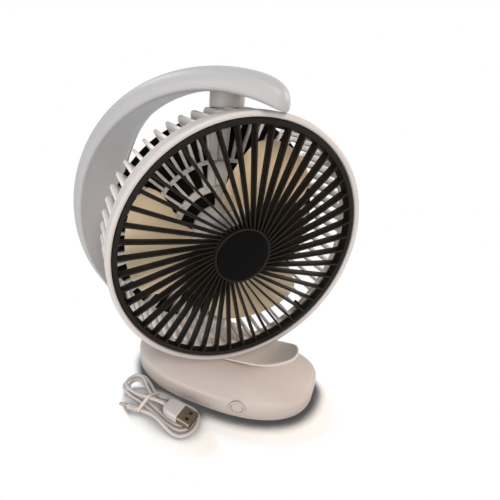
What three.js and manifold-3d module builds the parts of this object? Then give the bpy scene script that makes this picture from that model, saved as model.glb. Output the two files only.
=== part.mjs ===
// Portable table fan: a round fan head swivels inside a crescent arm, and the arm tilts on a
// flat oval base that holds the battery. Its charging lead lies beside it, wound in a hank.
// Millimetres, +Z up, front towards -Y. The origin is on the underside of the foot pad, under
// the swivel axis of the head.
import * as THREE from 'three';
import { mergeVertices } from 'three/addons/utils/BufferGeometryUtils.js';
import Module from 'manifold-3d';

const wasm = await Module();
wasm.setup();

// Clearances and overruns
const gap = 0.3;
const cutOver = 1;
const runningGap = 0.09;
const seatGap = 0.05;

// Where the joints are
const headTurnDeg = 38.8;
const hingeBack = 20;
const hingeHeight = 21.5;

// Front ring of the head; depths are measured forward from the swivel axis
const rimRadius = 75;
const ringWidth = 3;
const ringFront = 39.8;
const ringBack = 30;
const ringRound = 1.3;
const ledgeWidth = 1.8;
const ledgeDepth = 1.1;
const ledgeBack = 31.2;

// Front grille
const vaneCount = 46;
const vanePhaseDeg = 3.6;
const vaneSwirlDeg = 6.2;
const vaneFront = 38.3;
const vaneDepth = 5.3;
const vaneThickRim = 1.5;
const vaneThickHub = 1;
const grilleRimWidth = 3.1;
const grilleRimFront = 38.8;
const grilleHubRadius = 17.4;
const grilleHubFront = 39.9;
const grilleHubWall = 1.2;
const badgeRecess = 1.4;
const badgeThick = 1.2;
const badgeRise = 0.5;
const clipCount = 3;
const clipWidth = 4;
const clipReach = 6.5;
const clipThick = 1.6;
const clipAngleDeg = 316;

// Rear cage
const ribCount = 60;
const ribThick = 1.8;
const ribProud = 2.6;
const ribOuter = rimRadius + ribProud;
const ribDepth = 4.8;
const cageBack = 5;
const barDepth = 3.6;
const flangeThick = 2.2;
const collarWall = 2;
const midRingInner = 45;
const midRingWidth = 2.4;
const innerRingInner = 27;
const innerRingWidth = 4.5;
const windowBarCount = 30;
const spokeCount = 3;
const spokeWidth = 4;
const stripLeft = 8.5;
const stripRight = 3.5;
const stripDepth = 2.4;
const cupWall = 1.8;
const cupFront = 4;
const cupFloorBack = 8;
const cupFloorThick = 1.8;
const bossRadius = 10;
const bossInset = 6.5;
const bossInner = rimRadius - bossInset;
const bossSunk = 1.2;
const bossOuter = ribOuter - bossSunk;

// Motor
const canRadius = 15.2;
const canWall = 1.2;
const canFront = 9;
const canBack = 5.9;
const canNoseRadius = 4;
const canNoseFront = 11;
const endCapThick = 1.6;
const shaftRadius = 1.5;
const shaftFront = 19.4;
const shaftBack = 5.4;
const bushRadius = 2.5;
const bushLength = 3.6;
const armatureRadius = 10.4;
const armatureFront = 5;
const armatureBack = 1;
const magnetThick = 2.4;
const magnetSpanDeg = 150;
const motorScrewCircle = 9;
const motorScrewShank = 0.8;
const motorScrewHead = 1.7;
const motorScrewHeadHeight = 1.1;

// Impeller
const bladeCount = 3;
const bladeClear = 9.5;
const bladeTip = rimRadius - bladeClear;
const bladeThick = 1.5;
const bladeMiddle = 17;
const bladePitchRoot = 5.5;
const bladePitchTip = 8.5;
const impellerHubRadius = 23;
const impellerHubFront = 21.6;
const impellerHubBack = 10.5;
const impellerWall = 1.7;
const impellerBossRadius = 4.5;
const impellerBossBack = 12.2;
const hubCapThick = 1.5;
const hubCapRise = 0.9;

// Crescent arm
const headClear = 7.2;
const armInner = rimRadius + ringWidth + headClear;
const hingeDrop = 8.3;
const headHeight = hingeHeight + hingeDrop + armInner;
const armWidest = 11.3;
const armFront = 34;
const armDepth = 58;
const armLowerGrowth = 3.6;
const armWall = 1.8;
const armCoverThick = 1.8;
const stubInner = bossOuter + gap;
const pinRadius = 3.5;
const pinBore = 1.5;
const pinInset = 1;
const pinInner = bossInner + pinInset;
const pinShort = 0.6;
const pinOuter = armInner - pinShort;
const washerRadius = 8;
const washerThick = 0.9;
const ductFront = 5;
const ductWidth = 9;
const ductRise = 5.2;
const ductOuter = armInner + ductRise;
const ductBoreRise = 1.4;
const ductBoreInner = armInner + ductBoreRise;
const ductBoreWidth = 2.4;

// Tilt hinge
const knuckleRadius = 4.6;
const knuckleHalf = 8;
const hingePinRadius = 1.75;
const hingePinHalf = 15;
const earInner = 9.4;
const earOuter = 15.4;
const hingeWasherRadius = 3.6;
const hingeWasherThick = 0.7;
const slotFloor = 15.4;

// Base
const baseCentreX = 12.7;
const baseHalfLength = 69.5;
const baseFrontHalf = 48;
const baseRearHalf = 28;
const baseExponent = 2.48;
const baseBottom = 0.6;
const baseSplit = 3;
const baseBottomInset = 1.2;
const baseWallTop = 11.6;
const baseCorner = 5;
const baseCrown = 26.6;
const crownX = 15;
const crownY = -22;
const baseWall = 2.2;
const padHalfLength = 38;
const padFrontHalf = 33;
const padRearHalf = 15;
const padThick = 1.5;

// Power button, jack, battery and board
const buttonX = 35;
const buttonHeight = 9.4;
const bezelRadius = 5.8;
const bezelWidth = 1.5;
const bezelProud = 0.35;
const capRadius = 4;
const capThick = 1.8;
const capStemRadius = 1.5;
const capStemLength = 1.4;
const buttonTravel = 0.8;
const switchSide = 4.5;
const switchDepth = 3.6;
const boardLength = 34;
const boardHeight = 5.2;
const boardThick = 1.2;
const jackX = 45;
const jackHeight = 7.4;
const jackSide = 5.6;
const jackDepth = 9;
const jackBore = 1.8;
const jackBoreDepth = 7;
const cellRadius = 9.1;
const cellLength = 50;
const cellX = 15;
const cellY = -21;
const cellZ = 12.3;
const cellButtonRadius = 3;
const cellButtonHeight = 1;
const screwXLeft = -38;
const screwXRight = 62;
const screwYFront = -14;
const screwYRear = 8;
const postRadius = 3.2;
const screwShank = 1;
const screwLength = 9;
const screwHead = 2.3;
const screwHeadHeight = 1.1;

// Charging lead: cord, hank, tie, plug and barrel connector
const cordRadius = 1.2;
const strandPitch = 3.3;
const tiePitch = 3.9;
const layerRise = 2.9;
const tieX = -24;
const tieY = -58.6;
const tieLift = 1;
const tieClear = 0.3;
const tieWire = 0.5;
const tieWidth = 1.5;
const rightLobeLength = 38;
const rightLobeHalf = 12.6;
const rightLobeTurnDeg = -11;
const leftLobeLength = 29.5;
const leftLobeHalf = 11.8;
const leftLobeTurnDeg = -27;
const plugX = -10.5;
const plugY = -62.1;
const plugTurnDeg = -11.3;
const plugHeight = 8;
const plugBodyLength = 12.4;
const plugBodyWidth = 12.4;
const plugBodyThick = 7;
const plugShellLength = 9.6;
const plugShellWidth = 12;
const plugShellThick = 4.5;
const plugShellWall = 0.4;
const plugTongueThick = 1.9;
const plugWindow = 2.2;
const plugWindowPitch = 5;
const connectorX = -28.6;
const connectorY = -68.9;
const connectorTurnDeg = 2.4;
const connectorLength = 8;
const connectorRadius = 2.3;
const barrelLength = 6.3;
const barrelRadius = 1.1;

// Facet counts
const headSegments = 46;
const hubSegments = 27;
const smallSegments = 16;
const screwSegments = 8;
const connectorSegments = 10;
const outlineSegments = 32;
const tieSegments = 18;
const armStepDeg = 8;
const loopSteps = 24;
const cordSides = 6;

const radians = THREE.MathUtils.degToRad;
const fullTurn = 2 * Math.PI;

// Joins and cuts
function bare(geometry) {
  const copy = geometry.clone();
  for (const name of Object.keys(copy.attributes)) {
    if (name !== 'position') copy.deleteAttribute(name);
  }
  return mergeVertices(copy, 1e-4);
}

function signedVolume(geometry) {
  const place = geometry.attributes.position;
  const index = geometry.index.array;
  const a = new THREE.Vector3();
  const b = new THREE.Vector3();
  const c = new THREE.Vector3();
  let total = 0;
  for (let i = 0; i < index.length; i += 3) {
    a.fromBufferAttribute(place, index[i]);
    b.fromBufferAttribute(place, index[i + 1]);
    c.fromBufferAttribute(place, index[i + 2]);
    total += a.dot(b.cross(c)) / 6;
  }
  return total;
}

function solid(geometry) {
  const closed = bare(geometry);
  const triVerts = new Uint32Array(closed.index.array);
  if (signedVolume(closed) < 0) {
    for (let i = 0; i < triVerts.length; i += 3) {
      [triVerts[i + 1], triVerts[i + 2]] = [triVerts[i + 2], triVerts[i + 1]];
    }
  }
  const kept = [];
  for (let i = 0; i < triVerts.length; i += 3) {
    const [a, b, c] = triVerts.slice(i, i + 3);
    if (a !== b && b !== c && a !== c) kept.push(a, b, c);
  }
  const vertProperties = new Float32Array(closed.attributes.position.array);
  return new wasm.Manifold(new wasm.Mesh({
    numProp: 3, vertProperties, triVerts: new Uint32Array(kept),
  }));
}

function shapeOf(body) {
  const mesh = body.getMesh();
  const geometry = new THREE.BufferGeometry();
  geometry.setAttribute('position', new THREE.BufferAttribute(mesh.vertProperties, 3));
  geometry.setIndex(new THREE.BufferAttribute(mesh.triVerts, 1));
  const flat = geometry.toNonIndexed();
  flat.computeVertexNormals();
  return flat;
}

function join(first, ...others) {
  return others.reduce((sum, next) => sum.add(next), first);
}

function cut(first, ...others) {
  return others.reduce((rest, next) => rest.subtract(next), first);
}

// A ring or disc turned about the head's axis: points are [radius, distance behind the swivel axis]
function turned(profile, segments) {
  const onAxis = profile[0][0] === 0 && profile[profile.length - 1][0] === 0;
  const loop = onAxis ? profile : [...profile, profile[0]];
  return new THREE.LatheGeometry(loop.map(([r, h]) => new THREE.Vector2(r, h)), segments);
}

function upright(profile, segments) {
  return turned(profile, segments).rotateX(Math.PI / 2);
}

function along(profile, segments) {
  return turned(profile, segments).rotateZ(-Math.PI / 2);
}

function block(x0, x1, y0, y1, z0, z1) {
  const box = new THREE.BoxGeometry(x1 - x0, y1 - y0, z1 - z0);
  return box.translate((x0 + x1) / 2, (y0 + y1) / 2, (z0 + z1) / 2);
}

// A solid through rings of points, closed by a fan at both ends
function loft(rings) {
  const size = rings[0].length;
  const points = rings.flat();
  const faces = [];
  for (let k = 0; k + 1 < rings.length; k += 1) {
    for (let i = 0; i < size; i += 1) {
      const a = k * size + i;
      const b = k * size + ((i + 1) % size);
      faces.push(a, b, b + size, a, b + size, a + size);
    }
  }
  for (const [start, flip] of [[0, true], [(rings.length - 1) * size, false]]) {
    const middle = new THREE.Vector3();
    for (let i = 0; i < size; i += 1) middle.addScaledVector(points[start + i], 1 / size);
    points.push(middle);
    const centre = points.length - 1;
    for (let i = 0; i < size; i += 1) {
      const a = start + i;
      const b = start + ((i + 1) % size);
      if (flip) faces.push(centre, b, a);
      else faces.push(centre, a, b);
    }
  }
  const geometry = new THREE.BufferGeometry().setFromPoints(points);
  geometry.setIndex(faces);
  return geometry;
}

// A plate lying across the head's axis, cut out of radial and depth points and turned to an angle
function fin(profile, thickness, angle) {
  const outline = new THREE.Shape(profile.map(([r, h]) => new THREE.Vector2(r, h)));
  const plate = new THREE.ExtrudeGeometry(outline, { depth: thickness, bevelEnabled: false });
  plate.translate(0, 0, -thickness / 2);
  return plate.rotateY(-angle);
}

function spokeBar(inner, outer, width, front, back, angle) {
  return block(inner, outer, front, back, -width / 2, width / 2).rotateY(-angle);
}

function eachTurn(count, make, phase = 0) {
  return Array.from({ length: count }, (_, k) => make(phase + (k * fullTurn) / count, k));
}

// Straight steps between the rows [angle, value] of a table, eased at every row
function eased(rows, angle) {
  if (angle <= rows[0][0]) return rows[0][1];
  for (let k = 0; k + 1 < rows.length; k += 1) {
    const [a0, v0] = rows[k];
    const [a1, v1] = rows[k + 1];
    if (angle <= a1) {
      const before = k > 0 ? (v1 - rows[k - 1][1]) / (a1 - rows[k - 1][0]) : (v1 - v0) / (a1 - a0);
      const after = k + 2 < rows.length
        ? (rows[k + 2][1] - v0) / (rows[k + 2][0] - a0) : (v1 - v0) / (a1 - a0);
      const s = (angle - a0) / (a1 - a0);
      const span = a1 - a0;
      return v0 * (2 * s ** 3 - 3 * s ** 2 + 1) + before * span * (s ** 3 - 2 * s ** 2 + s)
        + v1 * (3 * s ** 2 - 2 * s ** 3) + after * span * (s ** 3 - s ** 2);
    }
  }
  return rows[rows.length - 1][1];
}

// Materials
function material(color, roughness, metalness = 0) {
  return new THREE.MeshStandardMaterial({ color, roughness, metalness });
}

const white = material(0xdcdcdf, 0.42);
const warmWhite = material(0xd9ccc2, 0.45);
const black = material(0x17120e, 0.35);
const gloss = material(0x0b0a0a, 0.12);
const beige = material(0xd6bb94, 0.5);
const steel = material(0xa9abad, 0.35, 0.9);
const nickel = material(0x8c7a60, 0.4, 0.8);
const brass = material(0xb08d4c, 0.35, 0.9);
const ferrite = material(0x3a3a3c, 0.7);
const green = material(0x1f5b3a, 0.6);
const cellBlue = material(0x3f6fa8, 0.5);
const rubber = material(0x4a4a4c, 0.85);
const cordWhite = material(0xdcd6d4, 0.5);
const tieCream = material(0xdccbb0, 0.6);

const fan = new THREE.Group();
const head = new THREE.Group();
head.position.z = headHeight;
head.rotation.z = radians(headTurnDeg);
const arm = new THREE.Group();
arm.position.z = headHeight;
const lead = new THREE.Group();
fan.add(head, arm, lead);

function piece(group, name, body, look) {
  const geometry = body instanceof wasm.Manifold ? shapeOf(body) : body;
  const mesh = new THREE.Mesh(geometry, look);
  mesh.name = name;
  group.add(mesh);
  return mesh;
}

// Head: front ring
const ringOuter = rimRadius + ringWidth;
const ledgeInner = rimRadius - ledgeWidth;

function frontRing() {
  const ledgeFront = ledgeBack + ledgeDepth;
  const lip = ringRound / 2;
  return solid(turned([
    [rimRadius, -ledgeFront],
    [rimRadius, -(ringFront - ringRound)],
    [rimRadius + ringWidth / 2, -ringFront],
    [ringOuter, -(ringFront - 2 * ringRound)],
    [ringOuter, -ringBack],
    [rimRadius, -ringBack],
    [rimRadius, -ledgeBack],
    [ledgeInner, -ledgeBack],
    [ledgeInner, -ledgeFront],
  ], headSegments));
}

// Head: front grille. A vane leans back round the hub, the more the nearer it comes to it
const grilleOuter = rimRadius - gap;
const grilleRimInner = grilleOuter - grilleRimWidth;
const vaneBack = vaneFront - vaneDepth;
const collarOuter = rimRadius - gap;
const collarInner = collarOuter - collarWall;

function vaneAngle(radius) {
  return -radians(vaneSwirlDeg) * (rimRadius / radius - 1);
}

function vane(turn) {
  const inner = grilleHubRadius - grilleHubWall / 2;
  const outer = grilleRimInner + grilleRimWidth / 4;
  const stepShares = [0, 0.15, 0.42, 1];
  const rings = stepShares.map((share) => {
    const radius = inner + (outer - inner) * share;
    const angle = turn + vaneAngle(radius);
    const half = (vaneThickHub + (vaneThickRim - vaneThickHub) * share) / 2;
    const out = new THREE.Vector3(Math.cos(angle), 0, Math.sin(angle));
    const side = new THREE.Vector3(-Math.sin(angle), 0, Math.cos(angle));
    return [[-1, vaneFront], [1, vaneFront], [1, vaneBack], [-1, vaneBack]].map(([way, depth]) => (
      out.clone().multiplyScalar(radius).addScaledVector(side, way * half).setY(-depth)));
  });
  return solid(loft(rings));
}

function grilleClip(turn) {
  const outer = collarInner - 2 * gap;
  const root = grilleRimInner + grilleRimWidth / 3;
  return solid(fin([
    [outer - clipThick, -(vaneBack - clipReach)], [outer, -(vaneBack - clipReach)],
    [outer, -vaneBack], [root, -vaneBack], [root, -(vaneBack + clipThick)],
    [outer - clipThick, -(vaneBack + clipThick)],
  ], clipWidth, turn));
}

function frontGrille() {
  const badgeSeat = grilleHubFront - badgeRecess;
  const hub = solid(turned([
    [0, -badgeSeat],
    [grilleHubRadius - grilleHubWall, -badgeSeat],
    [grilleHubRadius - grilleHubWall, -grilleHubFront],
    [grilleHubRadius, -grilleHubFront],
    [grilleHubRadius, -vaneBack],
    [grilleHubRadius - grilleHubWall, -vaneBack],
    [grilleHubRadius - grilleHubWall, -(badgeSeat - grilleHubWall)],
    [0, -(badgeSeat - grilleHubWall)],
  ], vaneCount));
  const rim = solid(turned([
    [grilleRimInner, -vaneBack],
    [grilleRimInner, -vaneFront],
    [grilleRimInner + grilleRimWidth / 2, -grilleRimFront],
    [grilleOuter, -vaneFront],
    [grilleOuter, -vaneBack],
  ], headSegments));
  const vanes = eachTurn(vaneCount, vane, radians(vanePhaseDeg));
  const clips = eachTurn(clipCount, grilleClip, radians(clipAngleDeg));
  return join(hub, rim, ...vanes, ...clips);
}

function grilleBadge() {
  const back = grilleHubFront - badgeRecess + gap / 2;
  const radius = grilleHubRadius - grilleHubWall - gap / 2;
  return solid(turned([
    [0, -(back + badgeThick + badgeRise)],
    [radius * 0.6, -(back + badgeThick + badgeRise * 0.75)],
    [radius, -(back + badgeThick)],
    [radius, -back],
    [0, -back],
  ], hubSegments));
}

// Head: rear cage with its ribs, rings, motor cup, wire strip and pivot bosses
const flangeFront = ringBack - gap;
const flangeBack = flangeFront - flangeThick;
const barFront = cageBack - barDepth;
const cupInner = canRadius + gap;

function cageRib(turn) {
  const inside = ribOuter - ribDepth;
  return solid(fin([
    [inside, -(flangeBack + flangeThick / 4)],
    [ribOuter - gap, -(flangeBack + flangeThick / 4)],
    [ribOuter, -barDepth / 2],
    [inside + ribThick / 2, cageBack],
    [midRingInner + midRingWidth / 4, cageBack],
    [midRingInner + midRingWidth / 4, barFront],
    [inside - ribThick / 2, barFront],
  ], ribThick, turn));
}

function pivotBoss(side) {
  const inner = side * bossInner;
  const outer = side * bossOuter;
  const bore = pinRadius + runningGap;
  return {
    body: solid(upright([[0, inner], [bossRadius, inner], [bossRadius, outer], [0, outer]],
      smallSegments)),
    bore: solid(upright([
      [0, inner - side * cutOver], [bore, inner - side * cutOver],
      [bore, outer + side * cutOver], [0, outer + side * cutOver],
    ], smallSegments)),
    trim: solid(upright([
      [0, outer], [bossRadius + cutOver, outer],
      [bossRadius + cutOver, outer + side * ribDepth], [0, outer + side * ribDepth],
    ], smallSegments)),
  };
}

function rearCage() {
  const flange = solid(turned([
    [collarInner, -(ledgeBack - gap)], [collarOuter, -(ledgeBack - gap)],
    [collarOuter, -flangeFront], [ribOuter, -flangeFront],
    [ribOuter, -flangeBack], [collarInner, -flangeBack],
  ], hubSegments));
  const midRing = solid(turned([
    [midRingInner, barFront], [midRingInner + midRingWidth, barFront],
    [midRingInner + midRingWidth, cageBack], [midRingInner, cageBack],
  ], hubSegments));
  const innerRing = solid(turned([
    [innerRingInner, barFront], [innerRingInner + innerRingWidth, barFront],
    [innerRingInner + innerRingWidth, cageBack], [innerRingInner, cageBack],
  ], hubSegments));
  const cup = solid(turned([
    [0, cupFloorBack - cupFloorThick], [cupInner, cupFloorBack - cupFloorThick],
    [cupInner, -cupFront], [cupInner + cupWall, -cupFront],
    [cupInner + cupWall, cupFloorBack], [0, cupFloorBack],
  ], hubSegments));
  const bars = eachTurn(windowBarCount, (turn) => solid(spokeBar(
    innerRingInner + innerRingWidth / 2, midRingInner + midRingWidth / 2,
    ribThick, barFront, cageBack, turn)));
  const spokes = eachTurn(spokeCount, (turn) => solid(spokeBar(
    cupInner + cupWall / 2, innerRingInner + innerRingWidth / 2,
    spokeWidth, barFront, cageBack, turn)), fullTurn / 4);
  const strip = solid(block(-stripLeft, stripRight, barFront, barFront + stripDepth,
    innerRingInner + innerRingWidth / 2, ribOuter - ribDepth / 2));
  const bosses = [pivotBoss(1), pivotBoss(-1)];
  const ribs = eachTurn(ribCount, cageRib, fullTurn / ribCount / 2);
  const wireHole = solid(turned([
    [0, cupFloorBack - cupFloorThick - cutOver], [bushRadius + gap, cupFloorBack - cupFloorThick - cutOver],
    [bushRadius + gap, cupFloorBack + cutOver], [0, cupFloorBack + cutOver],
  ], screwSegments));
  const screwHoles = eachTurn(spokeCount, (turn) => {
    const drill = solid(turned([
      [0, 0], [motorScrewShank + gap, 0],
      [motorScrewShank + gap, cupFloorBack + cutOver], [0, cupFloorBack + cutOver],
    ], screwSegments));
    return drill.translate([motorScrewCircle * Math.cos(turn), 0, motorScrewCircle * Math.sin(turn)]);
  });
  const whole = join(flange, midRing, innerRing, cup, strip, ...bars, ...spokes, ...ribs,
    ...bosses.map((boss) => boss.body));
  return cut(whole, wireHole, ...screwHoles, ...bosses.flatMap((boss) => [boss.bore, boss.trim]));
}

// Head: motor
function motorCan() {
  const nose = bushRadius + seatGap;
  return solid(turned([
    [nose, -canNoseFront], [canNoseRadius, -canNoseFront], [canNoseRadius, -canFront],
    [canRadius, -canFront], [canRadius, canBack], [canRadius - canWall, canBack],
    [canRadius - canWall, -(canFront - canWall)], [nose, -(canFront - canWall)],
  ], smallSegments));
}

const endCapBack = canBack - seatGap;
const endCapFront = endCapBack - endCapThick;

function motorEndCap() {
  const disc = solid(turned([
    [bushRadius + seatGap, endCapFront], [canRadius - canWall - gap / 2, endCapFront],
    [canRadius - canWall - gap / 2, endCapBack], [bushRadius + seatGap, endCapBack],
  ], smallSegments));
  const holes = eachTurn(spokeCount, (turn) => solid(turned([
    [0, endCapFront - cutOver], [motorScrewShank + seatGap, endCapFront - cutOver],
    [motorScrewShank + seatGap, endCapBack + cutOver], [0, endCapBack + cutOver],
  ], screwSegments)).translate([
    motorScrewCircle * Math.cos(turn), 0, motorScrewCircle * Math.sin(turn)]));
  return cut(disc, ...holes);
}

function bush(front) {
  const inner = shaftRadius + runningGap;
  return solid(turned([
    [inner, front], [bushRadius, front], [bushRadius, front + bushLength], [inner, front + bushLength],
  ], smallSegments));
}

function motorMagnet(turn) {
  const outer = canRadius - canWall - gap;
  const inner = outer - magnetThick;
  const half = radians(magnetSpanDeg) / 2;
  const arc = new THREE.Shape();
  arc.absarc(0, 0, outer, turn - half, turn + half, false);
  arc.absarc(0, 0, inner, turn + half, turn - half, true);
  const bar = new THREE.ExtrudeGeometry(arc, {
    depth: armatureFront + armatureBack, bevelEnabled: false, curveSegments: smallSegments / 2,
  });
  return bar.rotateX(-Math.PI / 2).translate(0, -armatureFront, 0);
}

function armature() {
  const bore = shaftRadius + seatGap;
  return solid(turned([
    [bore, -armatureFront], [armatureRadius, -armatureFront],
    [armatureRadius, armatureBack], [bore, armatureBack],
  ], smallSegments));
}

function motorShaft() {
  return solid(turned([
    [0, -shaftFront], [shaftRadius, -shaftFront], [shaftRadius, shaftBack], [0, shaftBack],
  ], smallSegments));
}

function motorScrew() {
  const seat = cupFloorBack + gap / 2;
  return turned([
    [0, endCapFront + seatGap], [motorScrewShank, endCapFront + seatGap],
    [motorScrewShank, seat], [motorScrewHead, seat],
    [motorScrewHead, seat + motorScrewHeadHeight], [0, seat + motorScrewHeadHeight],
  ], screwSegments);
}

// Rotor: impeller with three broad blades, and its hub cap
function blade(turn) {
  const radialSteps = 5;
  const chordSteps = 6;
  const root = impellerHubRadius - impellerWall / 2;
  // Angles of the trailing and leading edges, measured from the blade's own direction
  const trailingDegrees = [[0, -26], [0.3, -30], [0.55, -38], [0.8, -42], [1, -40]];
  const leadingDegrees = [[0, 44], [0.3, 37], [0.55, 29], [0.8, 22], [1, 17]];
  const rings = [];
  for (let i = 0; i <= radialSteps; i += 1) {
    const out = i / radialSteps;
    const from = radians(eased(trailingDegrees, out));
    const to = radians(eased(leadingDegrees, out));
    const pitch = bladePitchRoot + (bladePitchTip - bladePitchRoot) * out;
    const frontSide = [];
    const backSide = [];
    for (let j = 0; j <= chordSteps; j += 1) {
      const along01 = j / chordSteps;
      const corner = Math.abs(2 * along01 - 1) ** 4;
      const tip = bladeTip * (1 - 0.085 * corner);
      const radius = root + (tip - root) * out;
      const angle = turn + from + (to - from) * along01;
      const curve = Math.sin(Math.PI * along01) * bladeThick;
      const depth = -bladeMiddle + pitch * (2 * along01 - 1) - curve;
      const thin = bladeThick * (0.55 + 0.45 * Math.sin(Math.PI * along01)) * (1 - 0.3 * out) / 2;
      const x = radius * Math.cos(angle);
      const z = radius * Math.sin(angle);
      frontSide.push(new THREE.Vector3(x, depth - thin, z));
      backSide.push(new THREE.Vector3(x, depth + thin, z));
    }
    rings.push([...frontSide, ...backSide.reverse()]);
  }
  return loftSheet(rings);
}

// A loft whose end rings are thin strips, closed by quads across the strip
function loftSheet(rings) {
  const size = rings[0].length;
  const half = size / 2;
  const faces = [];
  for (let k = 0; k + 1 < rings.length; k += 1) {
    for (let i = 0; i < size; i += 1) {
      const a = k * size + i;
      const b = k * size + ((i + 1) % size);
      faces.push(a, b, b + size, a, b + size, a + size);
    }
  }
  for (const [start, flip] of [[0, true], [(rings.length - 1) * size, false]]) {
    for (let i = 0; i + 1 < half; i += 1) {
      const a = start + i;
      const b = start + i + 1;
      const c = start + size - 2 - i;
      const d = start + size - 1 - i;
      if (flip) faces.push(a, c, b, a, d, c);
      else faces.push(a, b, c, a, c, d);
    }
  }
  const geometry = new THREE.BufferGeometry().setFromPoints(rings.flat());
  geometry.setIndex(faces);
  return solid(geometry);
}

function impeller() {
  const bore = shaftRadius + seatGap;
  const inside = impellerHubFront - impellerWall;
  const hub = solid(turned([
    [0, -impellerHubFront], [impellerHubRadius - impellerWall / 2, -impellerHubFront],
    [impellerHubRadius, -(impellerHubFront - impellerWall / 2)],
    [impellerHubRadius, -impellerHubBack], [impellerHubRadius - impellerWall, -impellerHubBack],
    [impellerHubRadius - impellerWall, -inside], [impellerBossRadius, -inside],
    [impellerBossRadius, -impellerBossBack], [bore, -impellerBossBack],
    [bore, -(shaftFront + seatGap)], [0, -(shaftFront + seatGap)],
  ], hubSegments));
  return join(hub, ...eachTurn(bladeCount, blade, Math.PI));
}

function hubCap() {
  const back = impellerHubFront + gap;
  const edge = impellerHubRadius - impellerWall / 2 - gap;
  return turned([
    [0, -(back + hubCapThick + hubCapRise)],
    [edge * 0.5, -(back + hubCapThick + hubCapRise * 0.8)],
    [edge * 0.85, -(back + hubCapThick)],
    [edge, -(back + hubCapThick / 2)],
    [edge, -back],
    [0, -back],
  ], hubSegments);
}

piece(head, 'front_ring', frontRing(), white);
piece(head, 'front_grille', frontGrille(), black);
piece(head, 'grille_badge', grilleBadge(), gloss);
piece(head, 'rear_cage', rearCage(), white);
piece(head, 'motor_can', motorCan(), steel);
piece(head, 'motor_end_cap', motorEndCap(), black);
piece(head, 'front_bush', bush(-(canNoseFront - gap)), brass);
piece(head, 'rear_bush', bush(endCapBack - bushLength), brass);
piece(head, 'magnet_left', motorMagnet(Math.PI), ferrite);
piece(head, 'magnet_right', motorMagnet(0), ferrite);
piece(head, 'motor_armature', armature(), steel);
piece(head, 'motor_shaft', motorShaft(), steel);
piece(head, 'impeller', impeller(), beige);
piece(head, 'impeller_cap', hubCap(), white);
eachTurn(spokeCount, (turn, k) => {
  const screw = piece(head, `motor_screw_${k + 1}`, motorScrew(), steel);
  screw.position.set(motorScrewCircle * Math.cos(turn), 0, motorScrewCircle * Math.sin(turn));
});


// Arm: a crescent band whose width, depth and edges change with the angle round the head
const armInnerGrowth = [
  [64, 0], [255, 0], [270, 0], [290, 1 / 3.6], [296, 0.62], [302, 0.95], [308, 1], [317.2, 1],
].map(([angle, share]) => [angle, armInner + armLowerGrowth * share]);
const armWidths = [
  [64.2, 0.16], [65.2, 0.42], [66.6, 0.66], [68.5, 0.84], [71, 0.95], [75, 1], [90, 1], [160, 1],
  [178, 0.9], [195, 0.66], [212, 0.44], [230, 0.29], [255, 0.225], [270, 0.225], [285, 0.23],
  [296, 0.28], [308, 0.32], [314, 0.28], [316.4, 0.19], [317.2, 0.1],
].map(([angle, share]) => [angle, armWidest * share]);
const armFronts = [
  [64.2, 0.74], [65.2, 0.87], [66.6, 0.95], [69, 1], [180, 1], [195, 0.97], [215, 0.83], [240, 0.76],
  [270, 0.76], [285, 0.82], [300, 0.92], [312, 0.96], [315.5, 0.95], [316.6, 0.9], [317.2, 0.83],
].map(([angle, share]) => [angle, armFront * share]);
const armBacks = [
  [64.2, -0.36], [66, -0.27], [70, -0.13], [75, 0], [82, 0.13], [90, 0.2], [108, 0.17], [123, 0.16],
  [138, 0.27], [150, 0.37], [170, 0.41], [215, 0.38], [245, 0.31], [270, 0.29], [285, 0.2],
  [298, 0.04], [306, -0.1], [311, -0.2], [315.5, -0.31], [316.8, -0.4], [317.2, -0.46],
].map(([angle, share]) => [angle, armDepth * share]);
// Shares of the band's width outward and of its depth backward, round its section
const sectionShares = [
  [0, 1], [0, 0.09], [0.07, 0.03], [0.22, 0], [0.52, 0.005], [0.8, 0.045], [0.96, 0.125], [1, 0.24],
  [0.95, 0.66], [0.78, 1],
];

function armPoint(angleDeg, radius, y) {
  const angle = radians(angleDeg);
  return new THREE.Vector3(radius * Math.cos(angle), y, radius * Math.sin(angle));
}

function armSection(angleDeg) {
  const inner = eased(armInnerGrowth, angleDeg);
  const width = eased(armWidths, angleDeg);
  const front = -eased(armFronts, angleDeg);
  const back = eased(armBacks, angleDeg);
  return sectionShares.map(([out, deep]) => (
    armPoint(angleDeg, inner + width * out, front + (back - front) * deep)));
}

function sweep(from, to, step, section) {
  const count = Math.ceil((to - from) / step);
  return Array.from({ length: count + 1 }, (_, k) => section(from + ((to - from) * k) / count));
}

const tipStations = [64.2, 64.6, 65.2, 66, 67.2, 69];
const middleFromDeg = 72;
const middleToDeg = 308;
const hornStations = [311, 313, 315, 316.2, 316.9, 317.2];
const hollowFromDeg = 78;
const hollowToDeg = 196;
const ductOverlapDeg = 8;
const boreOverlapDeg = 6;
const ductToDeg = 266;
const boreToDeg = 267;

function armBody() {
  const tip = tipStations.map(armSection);
  const middle = sweep(middleFromDeg, middleToDeg, armStepDeg, armSection);
  const horn = hornStations.map(armSection);
  return solid(loft([...tip, ...middle, ...horn]));
}

// The hollow behind the arm's front wall, open to the back; its shares follow the same section
function armHollow(clear, depthFrom, depthTo) {
  return solid(loft(sweep(hollowFromDeg + clear, hollowToDeg - clear, armStepDeg, (angleDeg) => {
    const inner = eased(armInnerGrowth, angleDeg) + armWall;
    const width = eased(armWidths, angleDeg) * 0.76 - 2 * armWall;
    const front = -eased(armFronts, angleDeg);
    const back = eased(armBacks, angleDeg);
    return depthFrom({ inner, width, front, back, angleDeg }, depthTo);
  })));
}

function hollowSection({ inner, width, front, back, angleDeg }) {
  return [
    armPoint(angleDeg, inner, back + cutOver),
    armPoint(angleDeg, inner, front + 2 * armWall),
    armPoint(angleDeg, inner + width, front + 2 * armWall),
    armPoint(angleDeg, inner + width, back + cutOver),
  ];
}

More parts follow.
